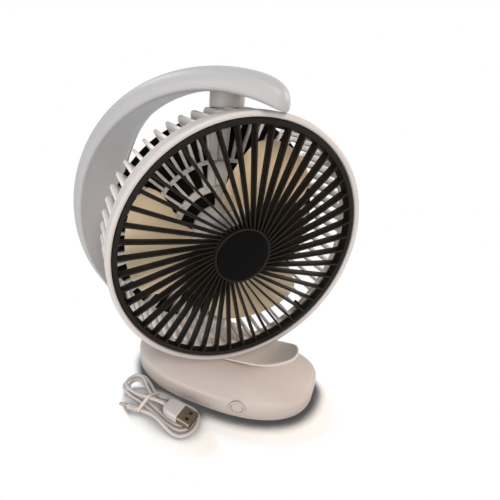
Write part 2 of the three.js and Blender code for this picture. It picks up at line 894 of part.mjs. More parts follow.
function coverSection({ inner, width, back, angleDeg }) {
  return [
    armPoint(angleDeg, inner + gap, back - gap),
    armPoint(angleDeg, inner + gap, back - armCoverThick),
    armPoint(angleDeg, inner + width - gap, back - armCoverThick),
    armPoint(angleDeg, inner + width - gap, back - gap),
  ];
}

function ringSection(inner, outer, front, back) {
  return (angleDeg) => [
    armPoint(angleDeg, inner, back),
    armPoint(angleDeg, inner, front),
    armPoint(angleDeg, outer, front),
    armPoint(angleDeg, outer, back),
  ];
}

const hingeY = hingeBack;
const hingeZ = hingeHeight - headHeight;

function armShell() {
  const stub = (side) => solid(upright([
    [0, side * stubInner], [bossRadius, side * stubInner],
    [bossRadius, side * (armInner + armWall / 2)], [0, side * (armInner + armWall / 2)],
  ], smallSegments));
  const duct = solid(loft(sweep(hollowToDeg - ductOverlapDeg, ductToDeg, armStepDeg,
    ringSection(armInner + armWall / 4, ductOuter, ductFront, ductFront + ductWidth))));
  const knuckle = solid(along([
    [0, -knuckleHalf], [knuckleRadius, -knuckleHalf], [knuckleRadius, knuckleHalf], [0, knuckleHalf],
  ], smallSegments)).translate([0, hingeY, hingeZ]);
  const web = solid(block(-knuckleHalf, knuckleHalf, hingeY - knuckleHalf, hingeY + knuckleRadius / 2,
    hingeZ, -(armInner + armWall / 2)));
  const pinHole = (side, top) => solid(upright([
    [0, side * (stubInner - cutOver)], [pinRadius + seatGap, side * (stubInner - cutOver)],
    [pinRadius + seatGap, side * top], [0, side * top],
  ], smallSegments));
  const washerSeat = (side) => solid(upright([
    [0, side * (stubInner - cutOver)], [washerRadius + gap, side * (stubInner - cutOver)],
    [washerRadius + gap, side * (stubInner + washerThick)], [0, side * (stubInner + washerThick)],
  ], smallSegments));
  const wireHole = solid(upright([
    [0, stubInner], [pinBore, stubInner], [pinBore, armInner + 2 * armWall + gap],
    [0, armInner + 2 * armWall + gap],
  ], screwSegments));
  const bore = solid(loft(sweep(hollowToDeg - boreOverlapDeg, boreToDeg, armStepDeg, ringSection(ductBoreInner,
    ductBoreInner + ductBoreWidth, ductFront + ductWidth / 2 - ductBoreWidth / 2,
    ductFront + ductWidth / 2 + ductBoreWidth / 2))));
  const hingeHole = solid(along([
    [0, -(knuckleHalf + cutOver)], [hingePinRadius + runningGap, -(knuckleHalf + cutOver)],
    [hingePinRadius + runningGap, knuckleHalf + cutOver], [0, knuckleHalf + cutOver],
  ], smallSegments)).translate([0, hingeY, hingeZ]);
  const whole = join(armBody(), stub(1), stub(-1), duct, knuckle, web);
  return cut(whole, armHollow(0, hollowSection), pinHole(1, pinOuter + gap), pinHole(-1, pinOuter + gap),
    washerSeat(1), washerSeat(-1), wireHole, bore, hingeHole);
}

function pivotPin(side, bore) {
  const profile = [
    [bore, side * pinInner], [pinRadius, side * pinInner],
    [pinRadius, side * pinOuter], [bore, side * pinOuter],
  ];
  return upright(profile, smallSegments);
}

function swivelWasher(side) {
  const bore = pinRadius + seatGap;
  const face = stubInner - seatGap;
  return upright([
    [bore, side * face], [washerRadius, side * face],
    [washerRadius, side * (face + washerThick)], [bore, side * (face + washerThick)],
  ], smallSegments);
}

piece(arm, 'arm_shell', armShell(), white);
piece(arm, 'arm_back_cover', armHollow(1, coverSection), white);
piece(arm, 'upper_pivot_pin', solid(pivotPin(1, pinBore)), steel);
piece(arm, 'lower_pivot_pin', solid(pivotPin(-1, 0)), steel);
piece(arm, 'upper_swivel_washer', solid(swivelWasher(1)), steel);
piece(arm, 'lower_swivel_washer', solid(swivelWasher(-1)), steel);

// Base outline: an oval whose front half is deeper than its rear half
function oval(halfLength, frontHalf, rearHalf, z, centreX = baseCentreX) {
  return Array.from({ length: outlineSegments }, (_, k) => {
    const angle = (k * fullTurn) / outlineSegments;
    const c = Math.cos(angle);
    const s = Math.sin(angle);
    const x = Math.sign(c) * Math.abs(c) ** (2 / baseExponent) * halfLength;
    const y = Math.sign(s) * Math.abs(s) ** (2 / baseExponent) * (s > 0 ? rearHalf : frontHalf);
    return new THREE.Vector3(centreX + x, y, z);
  });
}

function baseRing(inset, z) {
  return oval(baseHalfLength - inset, baseFrontHalf - inset, baseRearHalf - inset, z);
}

// The base's skin from a level up to the crown, drawn in by a wall's thickness
function baseSkin(inset, from, drop) {
  const corner = baseCorner - inset / 2;
  const rings = [baseRing(inset, from), baseRing(inset, baseWallTop - drop)];
  for (const turn of inset > 0 ? [45] : [30, 60]) {
    rings.push(baseRing(inset + corner * (1 - Math.cos(radians(turn))),
      baseWallTop - drop + corner * Math.sin(radians(turn))));
  }
  const shoulder = baseRing(inset + corner * (1 - Math.cos(radians(82))), 0);
  const shoulderZ = baseWallTop - drop + corner * Math.sin(radians(82));
  const crown = baseCrown - drop;
  const shares = inset > 0 ? [1, 0.74, 0.47, 0.2] : [1, 0.86, 0.68, 0.46, 0.22];
  for (const share of shares) {
    const z = shoulderZ + (crown - shoulderZ) * (1 - share ** 1.9);
    rings.push(shoulder.map((point) => new THREE.Vector3(
      crownX + (point.x - crownX) * share, crownY + (point.y - crownY) * share, z)));
  }
  return solid(loft(rings));
}

// A frame on the base's wall at x: where the wall is, and how far it is turned from straight on
function wallFrame(x, rear) {
  const half = rear ? baseRearHalf : baseFrontHalf;
  const across = (x - baseCentreX) / baseHalfLength;
  const inner = 1 - Math.abs(across) ** baseExponent;
  const y = half * inner ** (1 / baseExponent);
  const slope = (half / baseHalfLength) * Math.sign(across) * Math.abs(across) ** (baseExponent - 1)
    * inner ** (1 / baseExponent - 1);
  return { x, y: rear ? y : -y, turn: (rear ? Math.PI : 0) + (rear ? -1 : 1) * Math.atan(slope) };
}

// Pieces on a wall are drawn with +Y going inward from its face, then placed on it
function onWall(body, frame, z) {
  return body.rotate([0, 0, THREE.MathUtils.radToDeg(frame.turn)]).translate([frame.x, frame.y, z]);
}

const buttonWall = wallFrame(buttonX, false);
const jackWall = wallFrame(jackX, true);
const lowerTop = baseSplit - gap / 2;
const upperBottom = baseSplit + gap / 2;
const postPlaces = [
  [screwXLeft, screwYFront], [screwXLeft, screwYRear], [screwXRight, screwYFront], [screwXRight, screwYRear],
];

function cylinderAt(radius, x, y, from, to, segments = screwSegments) {
  return solid(upright([[0, from], [radius, from], [radius, to], [0, to]], segments)).translate([x, y, 0]);
}

function hingeEar(side) {
  const inner = side * earInner;
  const outer = side * earOuter;
  const round = solid(along([
    [0, Math.min(inner, outer)], [knuckleRadius, Math.min(inner, outer)],
    [knuckleRadius, Math.max(inner, outer)], [0, Math.max(inner, outer)],
  ], smallSegments)).translate([0, hingeBack, hingeHeight]);
  const foot = solid(block(Math.min(inner, outer), Math.max(inner, outer),
    hingeBack - knuckleRadius, hingeBack + knuckleRadius, slotFloor - baseWall, hingeHeight));
  return join(round, foot);
}

function baseUpperShell() {
  const outer = baseSkin(0, upperBottom, 0);
  const cavity = baseSkin(baseWall, upperBottom - cutOver, baseWall);
  const slotHalf = earInner - gap / 2;
  const slotFront = hingeBack - knuckleHalf - 2 * gap;
  const well = solid(block(-(earOuter), earOuter, slotFront - baseWall, baseRearHalf,
    slotFloor - baseWall, baseCrown)).intersect(outer);
  const posts = postPlaces.map(([x, y]) => (
    cylinderAt(postRadius, x, y, upperBottom, baseCrown).intersect(outer)));
  const pilots = postPlaces.map(([x, y]) => (
    cylinderAt(screwShank + seatGap, x, y, upperBottom - cutOver, baseSplit + screwLength + gap)));
  const slot = solid(block(-slotHalf, slotHalf, slotFront, baseRearHalf + cutOver, slotFloor,
    baseCrown + knuckleRadius));
  const pinHole = solid(along([
    [0, -(earOuter + cutOver)], [hingePinRadius + seatGap, -(earOuter + cutOver)],
    [hingePinRadius + seatGap, earOuter + cutOver], [0, earOuter + cutOver],
  ], smallSegments)).translate([0, hingeBack, hingeHeight]);
  const buttonHole = onWall(solid(turned([
    [0, -cutOver], [bezelRadius + seatGap, -cutOver],
    [bezelRadius + seatGap, 2 * baseWall], [0, 2 * baseWall],
  ], smallSegments)), buttonWall, buttonHeight);
  const jackHole = onWall(solid(turned([
    [0, -cutOver], [jackBore + gap, -cutOver],
    [jackBore + gap, baseWall + gap], [0, baseWall + gap],
  ], screwSegments)), jackWall, jackHeight);
  const hollow = cut(outer, cavity);
  const ears = [hingeEar(1), hingeEar(-1)];
  return cut(join(hollow, well, ...posts, ...ears), slot, pinHole, buttonHole, jackHole, ...pilots);
}

function baseLowerShell() {
  const skin = solid(loft([
    baseRing(baseBottomInset, baseBottom), baseRing(0, baseBottom + baseBottomInset),
    baseRing(0, lowerTop),
  ]));
  const padSeat = solid(loft([0, 1].map((end) => oval(padHalfLength + gap, padFrontHalf + gap,
    padRearHalf + gap, end ? padThick + gap : baseBottom - cutOver))));
  const heads = postPlaces.map(([x, y]) => (
    cylinderAt(screwHead + gap, x, y, baseBottom - cutOver, baseBottom + screwHeadHeight + gap / 2)));
  const holes = postPlaces.map(([x, y]) => (
    cylinderAt(screwShank + gap, x, y, baseBottom, baseSplit + cutOver)));
  const cradleRise = cellZ - cellRadius * Math.cos(radians(40));
  const cradles = [-1, 1].map((side) => {
    const x = cellX + (side * cellLength) / 3;
    const bed = solid(block(x - baseWall / 2, x + baseWall / 2, cellY - cellRadius * 0.8,
      cellY + cellRadius * 0.8, lowerTop - baseWall / 2, cradleRise));
    return bed;
  });
  const cellSpace = cell(cellRadius + gap, cellLength + 2 * cutOver);
  const boardPosts = [-1, 1].map((side) => onWall(solid(block(
    side * boardLength * 0.32 - baseWall, side * boardLength * 0.32 + baseWall,
    boardBack + gap, boardBack + gap + baseWall,
    lowerTop - baseWall / 2 - buttonHeight, boardHeight / 4)), buttonWall, buttonHeight));
  const jackRest = onWall(solid(block(-jackSide / 2, jackSide / 2,
    baseWall + 2 * gap, baseWall + 2 * gap + jackDepth,
    lowerTop - baseWall / 2 - jackHeight, -(jackSide / 2 + gap))), jackWall, jackHeight);
  return cut(join(skin, ...cradles.map((bed) => cut(bed, cellSpace)), ...boardPosts, jackRest),
    padSeat, ...heads, ...holes);
}

function cell(radius, length) {
  return solid(along([
    [0, -length / 2], [radius, -length / 2], [radius, length / 2], [0, length / 2],
  ], smallSegments)).translate([cellX, cellY, cellZ]);
}

function batteryCell() {
  const button = solid(along([
    [0, cellLength / 2 - cutOver], [cellButtonRadius, cellLength / 2 - cutOver],
    [cellButtonRadius, cellLength / 2 + cellButtonHeight], [0, cellLength / 2 + cellButtonHeight],
  ], smallSegments)).translate([cellX, cellY, cellZ]);
  return join(cell(cellRadius, cellLength), button);
}

function footPad() {
  return solid(loft([
    oval(padHalfLength - gap, padFrontHalf - gap, padRearHalf - gap, 0),
    oval(padHalfLength, padFrontHalf, padRearHalf, gap),
    oval(padHalfLength, padFrontHalf, padRearHalf, padThick),
  ]));
}

function baseScrew(x, y) {
  const headBottom = baseBottom + gap / 2;
  const headTop = headBottom + screwHeadHeight - gap / 2;
  return solid(upright([
    [0, headBottom], [screwHead, headBottom], [screwHead, headTop], [screwShank, headTop],
    [screwShank, baseSplit + screwLength], [0, baseSplit + screwLength],
  ], screwSegments)).translate([x, y, 0]);
}

// Button, its bezel, the switch behind it and the board that carries the switch
const stemEnd = capThick + capStemLength;
const switchFront = stemEnd + buttonTravel + gap / 2;
const boardFront = switchFront + switchDepth + seatGap;
const boardBack = boardFront + boardThick;

function buttonBezel() {
  return onWall(solid(turned([
    [bezelRadius - bezelWidth, -bezelProud / 2], [bezelRadius - bezelWidth / 2, -bezelProud],
    [bezelRadius, -bezelProud / 2], [bezelRadius, baseWall + gap],
    [bezelRadius - bezelWidth, baseWall + gap],
  ], smallSegments)), buttonWall, buttonHeight);
}

function buttonCap() {
  return onWall(solid(turned([
    [0, -bezelProud / 3], [capRadius - gap, -bezelProud / 3], [capRadius, gap / 3],
    [capRadius, capThick], [capStemRadius, capThick], [capStemRadius, stemEnd], [0, stemEnd],
  ], smallSegments)), buttonWall, buttonHeight);
}

function tactSwitch() {
  return onWall(solid(block(-switchSide / 2, switchSide / 2, switchFront, switchFront + switchDepth,
    -switchSide / 2, switchSide / 2)), buttonWall, buttonHeight);
}

function circuitBoard() {
  return onWall(solid(block(-boardLength / 2, boardLength / 2, boardFront, boardBack,
    -boardHeight / 2, boardHeight / 2)), buttonWall, buttonHeight);
}

function chargeJack() {
  const front = baseWall + 2 * gap;
  const body = solid(block(-jackSide / 2, jackSide / 2, front, front + jackDepth,
    -jackSide / 2, jackSide / 2));
  const bore = solid(turned([
    [0, front - cutOver], [jackBore, front - cutOver],
    [jackBore, front + jackBoreDepth], [0, front + jackBoreDepth],
  ], screwSegments));
  return onWall(cut(body, bore), jackWall, jackHeight);
}

function hingePin() {
  return solid(along([
    [0, -hingePinHalf], [hingePinRadius, -hingePinHalf],
    [hingePinRadius, hingePinHalf], [0, hingePinHalf],
  ], smallSegments)).translate([0, hingeBack, hingeHeight]);
}

function hingeWasher(side) {
  const middle = (side * (knuckleHalf + earInner)) / 2;
  const bore = hingePinRadius + seatGap;
  return solid(along([
    [bore, middle - hingeWasherThick / 2], [hingeWasherRadius, middle - hingeWasherThick / 2],
    [hingeWasherRadius, middle + hingeWasherThick / 2], [bore, middle + hingeWasherThick / 2],
  ], smallSegments)).translate([0, hingeBack, hingeHeight]);
}

piece(fan, 'base_upper_shell', baseUpperShell(), warmWhite);
piece(fan, 'base_lower_shell', baseLowerShell(), warmWhite);
piece(fan, 'foot_pad', footPad(), rubber);
piece(fan, 'battery_cell', batteryCell(), cellBlue);
piece(fan, 'button_bezel', buttonBezel(), white);
piece(fan, 'power_button', buttonCap(), warmWhite);
piece(fan, 'tact_switch', tactSwitch(), black);
piece(fan, 'circuit_board', circuitBoard(), green);
piece(fan, 'charge_jack', chargeJack(), black);
piece(fan, 'hinge_pin', hingePin(), steel);
piece(fan, 'hinge_washer_left', hingeWasher(-1), steel);
piece(fan, 'hinge_washer_right', hingeWasher(1), steel);
postPlaces.forEach(([x, y], k) => piece(fan, `base_screw_${k + 1}`, baseScrew(x, y), steel));

// Charging lead. A turn runs out along the near side, round the right lobe, back along the far
// side and round the left lobe. Each turn lies inside the last, and the third climbs over the first
// two before the left lobe. At the tie every strand has a slot, counted in strands from the middle
function smooth(value, from, to) {
  const share = Math.min(1, Math.max(0, (value - from) / (to - from)));
  return share * share * (3 - 2 * share);
}

const neck = 1.2;
const widestReach = Math.sqrt(neck / (1 + neck));
const widestBulge = widestReach ** neck / Math.sqrt(1 + neck);

function hankPoint(turns) {
  const angle = fullTurn * (turns - 1 / 4);
  const out = Math.cos(angle);
  const reach = Math.abs(out);
  const far = Math.sin(angle) > 0;
  const inward = strandPitch * (turns - 1.5 * smooth(turns, 2.47, 2.72));
  const length = (out > 0 ? rightLobeLength : leftLobeLength) - inward;
  const half = (out > 0 ? rightLobeHalf : leftLobeHalf) - inward;
  const bulge = Math.abs(Math.sin(angle)) * reach ** neck / widestBulge;
  const farSlot = 2 - turns + smooth(turns, 2.43, 2.52);
  const nearSlot = turns < 1 / 2 ? -2 : turns - 2.5;
  const drawnIn = reach < widestReach ? tiePitch * (1 - bulge) * (far ? farSlot : nearSlot) : 0;
  const layer = turns < 0.3 ? 1 - smooth(reach, 0.35, 0.75) : smooth(turns, 2.36, 2.44);
  const x = length * out;
  const y = (far ? half : -half) * bulge + drawnIn;
  const z = cordRadius + seatGap + layerRise * layer + tieLift * (1 - smooth(reach, 0.05, 0.5));
  const bend = radians(leftLobeTurnDeg + (rightLobeTurnDeg - leftLobeTurnDeg) * smooth(out, -0.3, 0.3));
  return new THREE.Vector3(
    tieX + x * Math.cos(bend) - y * Math.sin(bend), tieY + x * Math.sin(bend) + y * Math.cos(bend), z);
}

function heading(turnDeg) {
  return new THREE.Vector3(Math.cos(radians(turnDeg)), Math.sin(radians(turnDeg)), 0);
}

function bridge(start, startWay, end, endWay, steps) {
  const pull = start.distanceTo(end) / 3;
  const curve = new THREE.CubicBezierCurve3(
    start, start.clone().addScaledVector(startWay, pull), end.clone().addScaledVector(endWay, -pull), end);
  return curve.getPoints(steps);
}

const plugRear = new THREE.Vector3(plugX, plugY, plugHeight);
const connectorRear = new THREE.Vector3(connectorX, connectorY, connectorRadius + seatGap);

function leadRoute() {
  const first = 0.07;
  const last = 2.88;
  const count = Math.round((last - first) * loopSteps);
  const hank = Array.from({ length: count + 1 }, (_, k) => hankPoint(first + ((last - first) * k) / count));
  const plugWay = heading(plugTurnDeg);
  const connectorWay = heading(connectorTurnDeg);
  const way = (a, b) => b.clone().sub(a).normalize();
  const straightOut = connectorRear.clone().addScaledVector(connectorWay, 2 * cordRadius);
  const straightIn = plugRear.clone().addScaledVector(plugWay, -2 * cordRadius);
  const start = bridge(straightOut, connectorWay, hank[0], way(hank[0], hank[1]), 4);
  const end = bridge(hank[count], way(hank[count - 1], hank[count]), straightIn, plugWay, 4);
  return [connectorRear, ...start.slice(0, -1), ...hank, ...end.slice(1), plugRear];
}

// Least distance between parts of the route that aren't next to each other, less the cord itself
function leastGap(route) {
  const reach = [0];
  for (let i = 1; i < route.length; i += 1) reach.push(reach[i - 1] + route[i].distanceTo(route[i - 1]));
  const line = new THREE.Line3();
  const near = new THREE.Vector3();
  let least = Infinity;
  for (let i = 0; i < route.length; i += 1) {
    for (let j = 0; j + 1 < route.length; j += 1) {
      if (Math.min(Math.abs(reach[i] - reach[j]), Math.abs(reach[i] - reach[j + 1])) > 6 * cordRadius) {
        line.set(route[j], route[j + 1]).closestPointToPoint(route[i], true, near);
        least = Math.min(least, near.distanceTo(route[i]) - 2 * cordRadius);
      }
    }
  }
  return { least, length: reach[reach.length - 1] };
}

function cordAlong(route, radius, sides) {
  const up = new THREE.Vector3(0, 0, 1);
  return loft(route.map((point, i) => {
    const way = route[Math.min(i + 1, route.length - 1)].clone().sub(route[Math.max(i - 1, 0)]).normalize();
    const side = new THREE.Vector3().crossVectors(way, up).normalize();
    const top = new THREE.Vector3().crossVectors(side, way);
    return Array.from({ length: sides }, (_, k) => {
      const angle = ((k + 1 / 2) * fullTurn) / sides;
      return point.clone().addScaledVector(side, radius * Math.cos(angle))
        .addScaledVector(top, radius * Math.sin(angle));
    });
  }));
}

const route = leadRoute();
const hankMeasure = leastGap(route);
console.log(`lead ${hankMeasure.length.toFixed(1)} mm long, least gap to itself ${hankMeasure.least.toFixed(2)} mm`);

// The plug, tie and connector are drawn along +X from the cord's end, then placed
function placed(body, turnDeg, at) {
  return body.rotate([0, 0, turnDeg]).translate([at.x, at.y, at.z]);
}

function plugBody() {
  const w = plugBodyWidth / 2;
  const t = plugBodyThick / 2;
  const chamfer = plugBodyThick / 5;
  const section = (x, scale) => [
    [-w, -t + chamfer], [-w + chamfer, -t], [w - chamfer, -t], [w, -t + chamfer],
    [w, t - chamfer], [w - chamfer, t], [-w + chamfer, t], [-w, t - chamfer],
  ].map(([y, z]) => new THREE.Vector3(x, y * scale, z * scale));
  return placed(solid(loft([
    section(gap, 0.82), section(plugBodyLength * 0.3, 1), section(plugBodyLength, 1),
  ])), plugTurnDeg, plugRear);
}

const plugFront = plugBodyLength + gap;

function plugShell() {
  const w = plugShellWidth / 2;
  const t = plugShellThick / 2;
  const end = plugFront + plugShellLength;
  const outer = solid(block(plugFront, end, -w, w, -t, t));
  const inner = solid(block(plugFront + plugShellWall, end + cutOver,
    -(w - plugShellWall), w - plugShellWall, -(t - plugShellWall), t - plugShellWall));
  const windows = [-1, 1].map((side) => solid(block(
    plugFront + plugShellLength / 2, plugFront + plugShellLength / 2 + plugWindow,
    (side * plugWindowPitch) / 2 - plugWindow / 2, (side * plugWindowPitch) / 2 + plugWindow / 2,
    0, t + cutOver)));
  return placed(cut(outer, inner, ...windows), plugTurnDeg, plugRear);
}

function plugTongue() {
  const w = plugShellWidth / 2 - plugShellWall - gap / 2;
  const t = plugShellThick / 2 - plugShellWall - gap / 2;
  return placed(solid(block(plugFront + plugShellWall + gap / 2, plugFront + plugShellLength - 2 * gap,
    -w, w, -t, -t + plugTongueThick)), plugTurnDeg, plugRear);
}

function connectorBody() {
  const r = connectorRadius;
  return placed(solid(along([
    [0, -connectorLength], [r * 0.8, -connectorLength], [r, -connectorLength * 0.85],
    [r, -connectorLength * 0.35], [r * 0.75, -gap], [0, -gap],
  ], connectorSegments)), connectorTurnDeg, connectorRear);
}

function connectorBarrel() {
  const start = -(connectorLength + gap / 2);
  return placed(solid(along([
    [0, start - barrelLength], [barrelRadius * 0.7, start - barrelLength],
    [barrelRadius, start - barrelLength * 0.92], [barrelRadius, start], [0, start],
  ], connectorSegments)), connectorTurnDeg, connectorRear);
}

// A flat wire loop drawn tight round the strands: where the route passes the tie, its outline
// touches the outermost strand in every direction
const tieTurnDeg = (leftLobeTurnDeg + rightLobeTurnDeg) / 2;

function strandsAtTie() {
  const ahead = heading(tieTurnDeg);
  const across = heading(tieTurnDeg + 90);
  const tie = new THREE.Vector3(tieX, tieY, 0);
  const steps = route.map((point) => point.clone().sub(tie));
  const strands = [];
  for (let k = 1; k < steps.length; k += 1) {
    const from = steps[k - 1].dot(ahead);
    const to = steps[k].dot(ahead);
    if (from * to < 0) {
      const middle = steps[k - 1].clone().lerp(steps[k], from / (from - to));
      strands.push(new THREE.Vector2(middle.dot(across), middle.z));
    }
  }
  return strands;
}

function twistTie() {
  const strands = strandsAtTie();
  const outline = (grow) => eachTurn(tieSegments, (turn) => {
    const way = new THREE.Vector2(Math.cos(turn), Math.sin(turn));
    const outermost = strands.reduce((best, next) => (next.dot(way) > best.dot(way) ? next : best));
    return outermost.clone().addScaledVector(way, cordRadius + tieClear + grow);
  });
  const ring = (x) => [outline(0), outline(tieWire)].map((loop) => (
    loop.map((point) => new THREE.Vector3(x, point.x, point.y))));
  const [innerBack, outerBack] = ring(-tieWidth / 2);
  const [innerFront, outerFront] = ring(tieWidth / 2);
  const around = outerBack.map((_, k) => [innerBack[k], outerBack[k], outerFront[k], innerFront[k]]);
  return placed(solid(closedLoft(around)), tieTurnDeg, new THREE.Vector3(tieX, tieY, 0));
}

// A solid ring through sections that come back to the first
function closedLoft(rings) {
  const size = rings[0].length;
  const faces = [];
  rings.forEach((_, k) => {
    const next = (k + 1) % rings.length;
    for (let i = 0; i < size; i += 1) {
      const j = (i + 1) % size;
      faces.push(k * size + i, k * size + j, next * size + j, k * size + i, next * size + j, next * size + i);
    }
  });
  const geometry = new THREE.BufferGeometry().setFromPoints(rings.flat());
  geometry.setIndex(faces);
  return geometry;
}

piece(lead, 'charging_lead', solid(cordAlong(route, cordRadius, cordSides)), cordWhite);
piece(lead, 'twist_tie', twistTie(), tieCream);
piece(lead, 'usb_plug_body', plugBody(), cordWhite);
piece(lead, 'usb_plug_shell', plugShell(), nickel);
piece(lead, 'usb_plug_tongue', plugTongue(), black);
piece(lead, 'connector_body', connectorBody(), cordWhite);
piece(lead, 'connector_barrel', connectorBarrel(), steel);

export default fan;
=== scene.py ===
import math

import bmesh
import bpy
from mathutils import Matrix, Vector


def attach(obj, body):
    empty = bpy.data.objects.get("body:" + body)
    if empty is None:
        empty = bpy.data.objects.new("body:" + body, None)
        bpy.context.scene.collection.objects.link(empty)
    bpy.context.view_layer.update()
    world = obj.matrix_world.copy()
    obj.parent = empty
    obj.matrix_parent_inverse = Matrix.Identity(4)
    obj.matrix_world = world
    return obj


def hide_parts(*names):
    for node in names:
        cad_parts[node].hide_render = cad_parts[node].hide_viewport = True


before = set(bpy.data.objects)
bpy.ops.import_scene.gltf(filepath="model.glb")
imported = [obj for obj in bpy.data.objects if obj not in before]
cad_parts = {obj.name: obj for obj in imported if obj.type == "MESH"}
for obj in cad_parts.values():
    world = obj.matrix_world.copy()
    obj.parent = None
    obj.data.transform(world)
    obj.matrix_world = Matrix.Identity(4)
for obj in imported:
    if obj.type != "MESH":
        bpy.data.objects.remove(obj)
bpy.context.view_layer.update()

# Pieces are modelled in millimetres, as the part's source is, and placed in metres
MM = 0.001
FULL_TURN = 2 * math.pi
ALONG_X = Vector((1, 0, 0))
ALONG_Y = Vector((0, 1, 0))

# Where the joints are
HEAD_HEIGHT = 115
HEAD_TURN = math.radians(38.8)
HINGE_BACK = 20
HINGE_HEIGHT = 21.5

WORLD = Matrix.Scale(MM, 4)
ARM = WORLD @ Matrix.Translation((0, 0, HEAD_HEIGHT))
HEAD = ARM @ Matrix.Rotation(HEAD_TURN, 4, "Z")

# Clearances, as in the source
GAP = 0.3
SEAT_GAP = 0.05
BORE_CLEAR = 0.1
# How far a cutter reaches past what it cuts
CUT_PAST = 1
# Points nearer than this are one point
SAME_PLACE = 1e-4

# Facets round a turned piece
ROUND_SEGMENTS = 184
DISC_SEGMENTS = 96
HOLE_SEGMENTS = 64
SMALL_SEGMENTS = 48
PIN_SEGMENTS = 32

# How far edges are rounded, which are, and how sharp an edge stays a crease
FINE_EDGE = 0.3
SLIGHT_EDGE = 0.35
PLAIN_EDGE = 0.4
SOFT_EDGE = 0.5
DEEP_EDGE = 0.6
CORNER = math.radians(28)
SHARP = math.radians(38)
BLUNT = math.radians(50)

# The photograph's view
PHOTO_SIDE = 500
FOCAL_PIXELS = 344.25
VIEW_CENTRE = (183.83, 261.27)
CAMERA_PLACE = (59.59, -208.06, 205.82)
CAMERA_AZIMUTH = math.radians(22.0)
CAMERA_DIP = math.radians(28.07)
CAMERA_ROLL = math.radians(1.11)
SENSOR = 36
NEAREST_SEEN = 5


def photo_camera():
    data = bpy.data.cameras.new("photo_camera")
    data.sensor_width = SENSOR
    data.lens = FOCAL_PIXELS * SENSOR / PHOTO_SIDE
    data.shift_x = (PHOTO_SIDE / 2 - VIEW_CENTRE[0]) / PHOTO_SIDE
    data.shift_y = (VIEW_CENTRE[1] - PHOTO_SIDE / 2) / PHOTO_SIDE
    data.clip_start = NEAREST_SEEN * MM
    camera = bpy.data.objects.new("photo_camera", data)
    turn = (
        Matrix.Rotation(CAMERA_AZIMUTH, 4, "Z")
        @ Matrix.Rotation(math.pi / 2 - CAMERA_DIP, 4, "X")
        @ Matrix.Rotation(CAMERA_ROLL, 4, "Z")
    )
    camera.matrix_world = Matrix.Translation(Vector(CAMERA_PLACE) * MM) @ turn
    bpy.context.scene.collection.objects.link(camera)
    bpy.context.scene.camera = camera


photo_camera()

# Node trees


def node(tree, kind, **settings):
    made = tree.nodes.new(kind)
    for name, value in settings.items():
        setattr(made, name, value)
    return made


def put(tree, made, socket, value):
    """Sets a socket, or links it where the value is another node's output."""
    if isinstance(value, bpy.types.NodeSocket):
        tree.links.new(value, made.inputs[socket])
    else:
        made.inputs[socket].default_value = value


def noise(tree, place, size, detail=2.0, roughness=0.5):
    made = node(tree, "ShaderNodeTexNoise")
    put(tree, made, "Vector", place)
    put(tree, made, "Scale", size)
    put(tree, made, "Detail", detail)
    put(tree, made, "Roughness", roughness)
    return made.outputs["Fac"]


def mixed(tree, share, first, second, blend="MIX"):
    # A mix of colours takes them at sockets 6 and 7, and gives its result at 2
    made = node(tree, "ShaderNodeMix", data_type="RGBA", blend_type=blend)
    put(tree, made, "Factor", share)
    put(tree, made, 6, first)
    put(tree, made, 7, second)
    return made.outputs[2]


def sums(tree, operation, first, second=0.0, third=0.0, clamp=False):
    made = node(tree, "ShaderNodeMath", operation=operation, use_clamp=clamp)
    put(tree, made, 0, first)
    put(tree, made, 1, second)
    put(tree, made, 2, third)
    return made.outputs[0]


def spread(tree, value, from_low, from_high, to_low=0.0, to_high=1.0):
    made = node(tree, "ShaderNodeMapRange", interpolation_type="SMOOTHSTEP")
    put(tree, made, "Value", value)
    put(tree, made, "From Min", from_low)
    put(tree, made, "From Max", from_high)
    put(tree, made, "To Min", to_low)
    put(tree, made, "To Max", to_high)
    return made.outputs["Result"]


def new_group(name, inputs, outputs):
    tree = bpy.data.node_groups.new(name, "ShaderNodeTree")
    for label, kind, start in inputs:
        made = tree.interface.new_socket(label, in_out="INPUT", socket_type=kind)
        if start is not None:
            made.default_value = start
    for label, kind in outputs:
        tree.interface.new_socket(label, in_out="OUTPUT", socket_type=kind)
    return tree, tree.nodes.new("NodeGroupInput"), tree.nodes.new("NodeGroupOutput")


# Noise sizes are in waves to the metre, and bump heights in metres
DRIFT_SIZE = 14.0
PATCH_SIZE = 90.0
DUST_SIZE = 400.0
STAIN_SIZE = 220.0
GRAIN_HEIGHT = 0.0001
LINE_HEIGHT = 0.00005
LINE_STRENGTH = 0.15
LINE_STRETCH = (1.0, 0.08, 1.0)
LINE_ROUGHNESS = 0.12
GRAIN_ROUGHNESS = 0.03
STAIN_TINT = (0.62, 0.58, 0.55, 1)
# How open to the sky a spot is where corner dust and painted shade start, and where they are full
OPEN_TO_CLOSED = (0.95, 0.35)
# The range of a noise that counts, and what it is spread to where that isn't 0 to 1
DRIFT_RANGE = (0.35, 0.65)
DUST_BREAKS = (0.2, 0.6, 0.6, 1.0)
STAIN_SPREAD = (0.4, 0.75, 0.0, 0.6)

SURFACE_SOCKETS = (
    ("Colour", "NodeSocketColor"),
    ("Roughness", "NodeSocketFloat"),
    ("Normal", "NodeSocketVector"),
)


